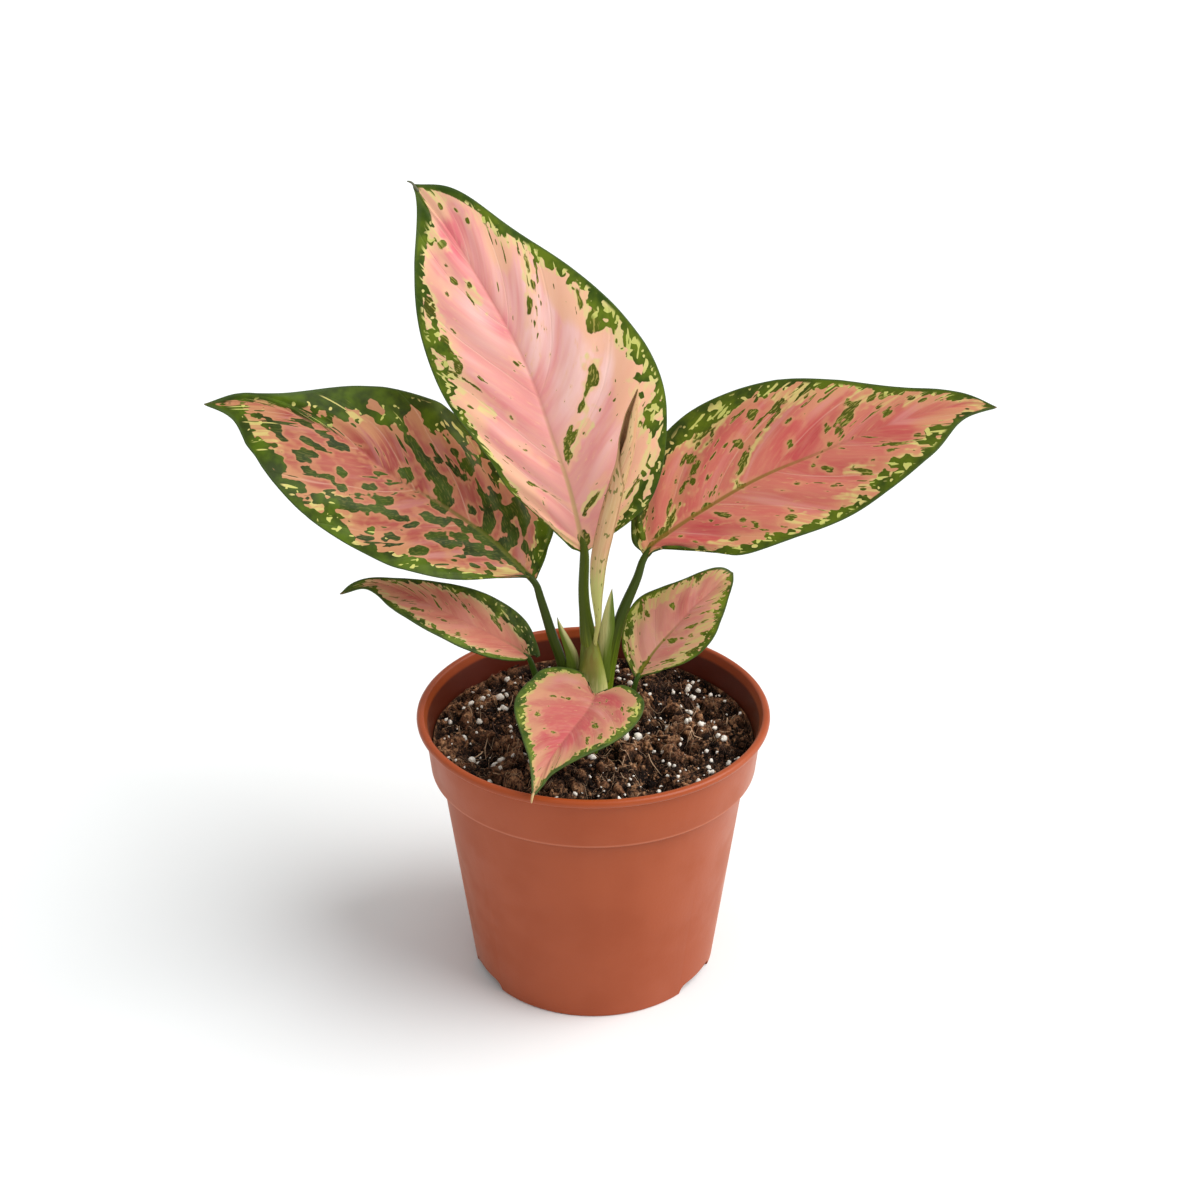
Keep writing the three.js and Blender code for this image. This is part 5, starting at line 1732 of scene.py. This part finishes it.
# What each leaf sets in the group leaf_variegation.
LOOKS = {
    "leaf_top": {
        "ragged": 0.72, "flecks": 0.05, "fleck_scale": 60.0, "dots": 0.85, "shift": 0.3,
        "cream_edge": 0.45, "midrib": srgb(196, 162, 112), "midrib_reach": 0.45, "pale": 0.3,
        "warmth": -0.05, "solid_rim": 1.7, "loose": 0.14, "cream": srgb(222, 206, 138),
        "pink": srgb(230, 160, 151), "deep_pink": srgb(226, 116, 124),
        "green": srgb(98, 116, 22), "dark_green": srgb(50, 72, 10),
    },
    # The left leaf's pinks, greens, peach and cream are darker than the other leaves': painted shade from
    # the tall leaf above it.
    "leaf_left": {
        "ragged": 0.7, "flecks": 0.4, "fleck_scale": 34.0, "dots": 0.6, "shift": 1.4, "grain": 0.95,
        "cream_edge": -0.4, "midrib": srgb(92, 96, 22), "loose": 0.36,
        "olive": 0.8, "inner": srgb(38, 50, 6), "mottle": 0.12, "solid_rim": 2.0,
        "green": srgb(80, 102, 8), "dark_green": srgb(44, 58, 4),
        "pink": srgb(168, 88, 74), "deep_pink": srgb(152, 64, 58), "peach": srgb(192, 136, 96),
        "cream": srgb(206, 190, 116),
    },
    "leaf_right": {
        "ragged": 0.7, "flecks": 0.2, "fleck_scale": 44.0, "dots": 0.85, "shift": 2.6,
        "cream_edge": 0.1, "midrib": srgb(132, 100, 38), "midrib_reach": 0.62, "solid_rim": 1.0,
        "pink": srgb(200, 112, 96), "deep_pink": srgb(192, 82, 80), "peach": srgb(208, 144, 106),
        "cream": srgb(212, 194, 120), "green": srgb(88, 104, 12), "dark_green": srgb(50, 66, 8),
    },
    "leaf_lower_left": {
        "ragged": 0.42, "flecks": 0.2, "dots": 0.55, "shift": 3.9, "grain": 1.5,
        "cream_edge": 0.35, "midrib": srgb(170, 130, 90), "midrib_reach": 0.3,
        "pink": srgb(208, 128, 108), "deep_pink": srgb(190, 94, 82), "peach": srgb(212, 152, 118),
        "cream": srgb(204, 190, 128), "green": srgb(100, 120, 32), "pale": 0.1,
    },
    "leaf_lower_right": {
        "ragged": 0.5, "flecks": 0.2, "dots": 1.0, "shift": 5.2, "grain": 1.6, "cream_edge": 0.55,
        "midrib": srgb(126, 122, 36), "olive": 0.5,
        "pink": srgb(218, 150, 132), "deep_pink": srgb(206, 120, 110), "peach": srgb(218, 168, 128),
        "cream": srgb(208, 194, 122), "green": srgb(112, 134, 30), "dark_green": srgb(74, 92, 20),
    },
    "leaf_front": {
        "ragged": 0.36, "flecks": 0.0, "dots": 0.8, "shift": 6.1, "grain": 1.7,
        "cream_edge": 0.2, "midrib": srgb(186, 120, 96), "midrib_reach": 0.2,
        "pink": srgb(190, 118, 102), "deep_pink": srgb(186, 86, 88), "peach": srgb(200, 146, 112),
        "cream": srgb(190, 178, 104), "green": srgb(100, 118, 40), "dark_green": srgb(56, 78, 24),
    },
}

# Each stalk's colour at its foot, above and in its streaks, and the heights between which the first
# turns into the second, in metres.
STALK_STREAK = srgb(66, 82, 18)
STALK_COLOURS = {
    "leaf_top": (srgb(118, 130, 40), srgb(74, 88, 10), STALK_STREAK, (0.116, 0.134)),
    "leaf_right": (srgb(118, 142, 24), srgb(54, 70, 8), STALK_STREAK, (0.105, 0.135)),
    "leaf_left": (srgb(94, 110, 24), srgb(50, 64, 10), STALK_STREAK, (0.088, 0.11)),
}
LOW_STALK_COLOURS = (srgb(98, 128, 36), srgb(58, 88, 24), STALK_STREAK, (0.085, 0.11))

# The same for the threads at two of the tips.
THREAD_COLOURS = {
    "leaf_top": (srgb(96, 98, 74), srgb(96, 98, 74), srgb(126, 122, 104)),
    "leaf_front": (srgb(196, 164, 116), srgb(206, 170, 128), srgb(176, 150, 96)),
}


class EVERGREEN_OT_leaves(bpy.types.Operator):
    """Models every open leaf with its stalk and its sheath"""

    bl_idname = "evergreen.make_leaves"
    bl_label = "Make Leaves"

    def execute(self, context):
        settings = context.scene.evergreen_plant
        variegation_group()
        for name, leaf in LEAVES.items():
            looks = dict(LOOKS[name])
            looks["ragged"] *= settings.ragged
            looks["flecks"] *= settings.flecks
            upper = leaf_material(f"{name}_upper", **looks)
            lower = leaf_material(f"{name}_underside", under=True, **looks)
            pieces = [dress(blade_piece(f"{name}_blade", leaf), upper, lower)]
            skin = stalk_material(f"{name}_stalk", *STALK_COLOURS.get(name, LOW_STALK_COLOURS))
            pieces.append(dress(stalk_piece(f"{name}_stalk", leaf), skin))
            if "thread" in leaf:
                skin = stalk_material(f"{name}_thread", *THREAD_COLOURS[name])
                pieces.append(dress(tip_piece(f"{name}_thread", leaf), skin))
            if name in SHEATHS:
                skin = sheath_material(f"{name}_sheath", name == "leaf_right")
                pieces.append(dress(sheath_piece(f"{name}_sheath", SHEATHS[name]), skin))
            finish_piece(join(f"{name}_grown", *pieces), name, replaces=name)
        return {"FINISHED"}


class EVERGREEN_OT_rolled_leaf(bpy.types.Operator):
    """Winds up the new leaf"""

    bl_idname = "evergreen.make_rolled_leaf"
    bl_label = "Make Rolled Leaf"

    def execute(self, context):
        piece = roll_piece("new_leaf_roll")
        skins = roll_material("rolled_leaf_skin"), roll_material("rolled_leaf_inside_shade", inside=True)
        finish_piece(piece, "leaf_rolled", *skins, replaces="leaf_rolled")
        return {"FINISHED"}


CROWN_PATH = [(0, 0, 70), (0, 0.3, 88), (0, 0.9, 105), (-0.8, 1.3, 118), (-1.9, 2.3, 128)]

# The last of these lie inside the tall leaf's stalk, so the crown ends without a step.
CROWN_RADII = [4.6, 5.2, 5.6, 5.7, 5.6, 5.4, 5.2, 5, 4.8, 4.3, 3.5, 2.7, 1.2]


class EVERGREEN_OT_crown(bpy.types.Operator):
    """Models the short stem that every leaf grows from"""

    bl_idname = "evergreen.make_crown"
    bl_label = "Make Crown"

    def execute(self, context):
        def wobble(u, body):
            return 1 + 0.05 * np.cos(2 * math.pi * (3 * u + 0.4 * body))

        piece = tube("crown_stem", CROWN_PATH, CROWN_RADII, sides=48, steps=80, wobble=wobble)
        finish_piece(piece, "crown", crown_material(), replaces="crown")
        return {"FINISHED"}


class EVERGREEN_OT_stage(bpy.types.Operator):
    """Adds the pale floor, the soft lights and the camera"""

    bl_idname = "evergreen.make_stage"
    bl_label = "Make Stage"

    def execute(self, context):
        settings = context.scene.evergreen_stage
        deselect()
        bpy.ops.mesh.primitive_plane_add(size=60, location=(0, 0, 0))
        floor = named(bpy.context.object, "floor")
        paint = Skin("white_floor", base_color=FLOOR_COLOUR, roughness=0.9, specular_ior_level=0)
        dress(floor, paint.material)

        world = bpy.data.worlds.new("white_room")
        world.use_nodes = True
        background = world.node_tree.nodes["Background"]
        background.inputs["Color"].default_value = (1, 1, 1, 1)
        background.inputs["Strength"].default_value = settings.surroundings
        context.scene.world = world

        self.add_sun("key_light", settings.key_strength, settings.key_softness,
                     settings.key_height, KEY_TURN)
        self.add_sun("rim_light", settings.rim_strength, RIM_SOFTNESS, RIM_HEIGHT, RIM_TURN, RIM_COLOUR)

        data = bpy.data.cameras.new("photo_camera")
        data.lens = CAMERA_LENS
        data.sensor_width = CAMERA_SENSOR
        data.clip_start = 0.01
        camera = linked("photo_camera", data)
        camera.location = CAMERA_PLACE
        camera.rotation_euler = (math.radians(CAMERA_PITCH), 0, 0)
        context.scene.camera = camera
        context.scene.view_settings.view_transform = "Standard"
        return {"FINISHED"}

    def add_sun(self, name, strength, softness, height, turn, colour=(1, 1, 1)):
        """A light at this height over the floor, turned round the plant, with angles in radians."""
        light = bpy.data.lights.new(name, "SUN")
        light.energy = strength
        light.angle = softness
        light.color = colour
        linked(name, light).rotation_euler = (0, math.pi / 2 - height, turn)


class EVERGREEN_PT_panel(bpy.types.Panel):
    bl_label = "Evergreen"
    bl_space_type = "VIEW_3D"
    bl_region_type = "UI"
    bl_category = "Evergreen"

    def draw(self, context):
        for operator in OPERATORS:
            self.layout.operator(operator.bl_idname)


GROUPS = {
    "evergreen_plant": EvergreenPlantSettings,
    "evergreen_pot": EvergreenPotSettings,
    "evergreen_soil": EvergreenSoilSettings,
    "evergreen_stage": EvergreenStageSettings,
}

OPERATORS = (
    EVERGREEN_OT_stage,
    EVERGREEN_OT_pot,
    EVERGREEN_OT_soil,
    EVERGREEN_OT_crown,
    EVERGREEN_OT_leaves,
    EVERGREEN_OT_rolled_leaf,
)


def register():
    for group in GROUPS.values():
        bpy.utils.register_class(group)
    for name, group in GROUPS.items():
        setattr(bpy.types.Scene, name, bpy.props.PointerProperty(type=group))
    for operator in OPERATORS:
        bpy.utils.register_class(operator)
    bpy.utils.register_class(EVERGREEN_PT_panel)


def unregister():
    bpy.utils.unregister_class(EVERGREEN_PT_panel)
    for operator in reversed(OPERATORS):
        bpy.utils.unregister_class(operator)
    for name in GROUPS:
        delattr(bpy.types.Scene, name)
    for group in reversed(GROUPS.values()):
        bpy.utils.unregister_class(group)


def main():
    register()
    bpy.ops.evergreen.make_stage()
    bpy.ops.evergreen.make_pot()
    bpy.ops.evergreen.make_soil()
    bpy.ops.evergreen.make_crown()
    bpy.ops.evergreen.make_leaves()
    bpy.ops.evergreen.make_rolled_leaf()


if __name__ == "__main__":
    main()
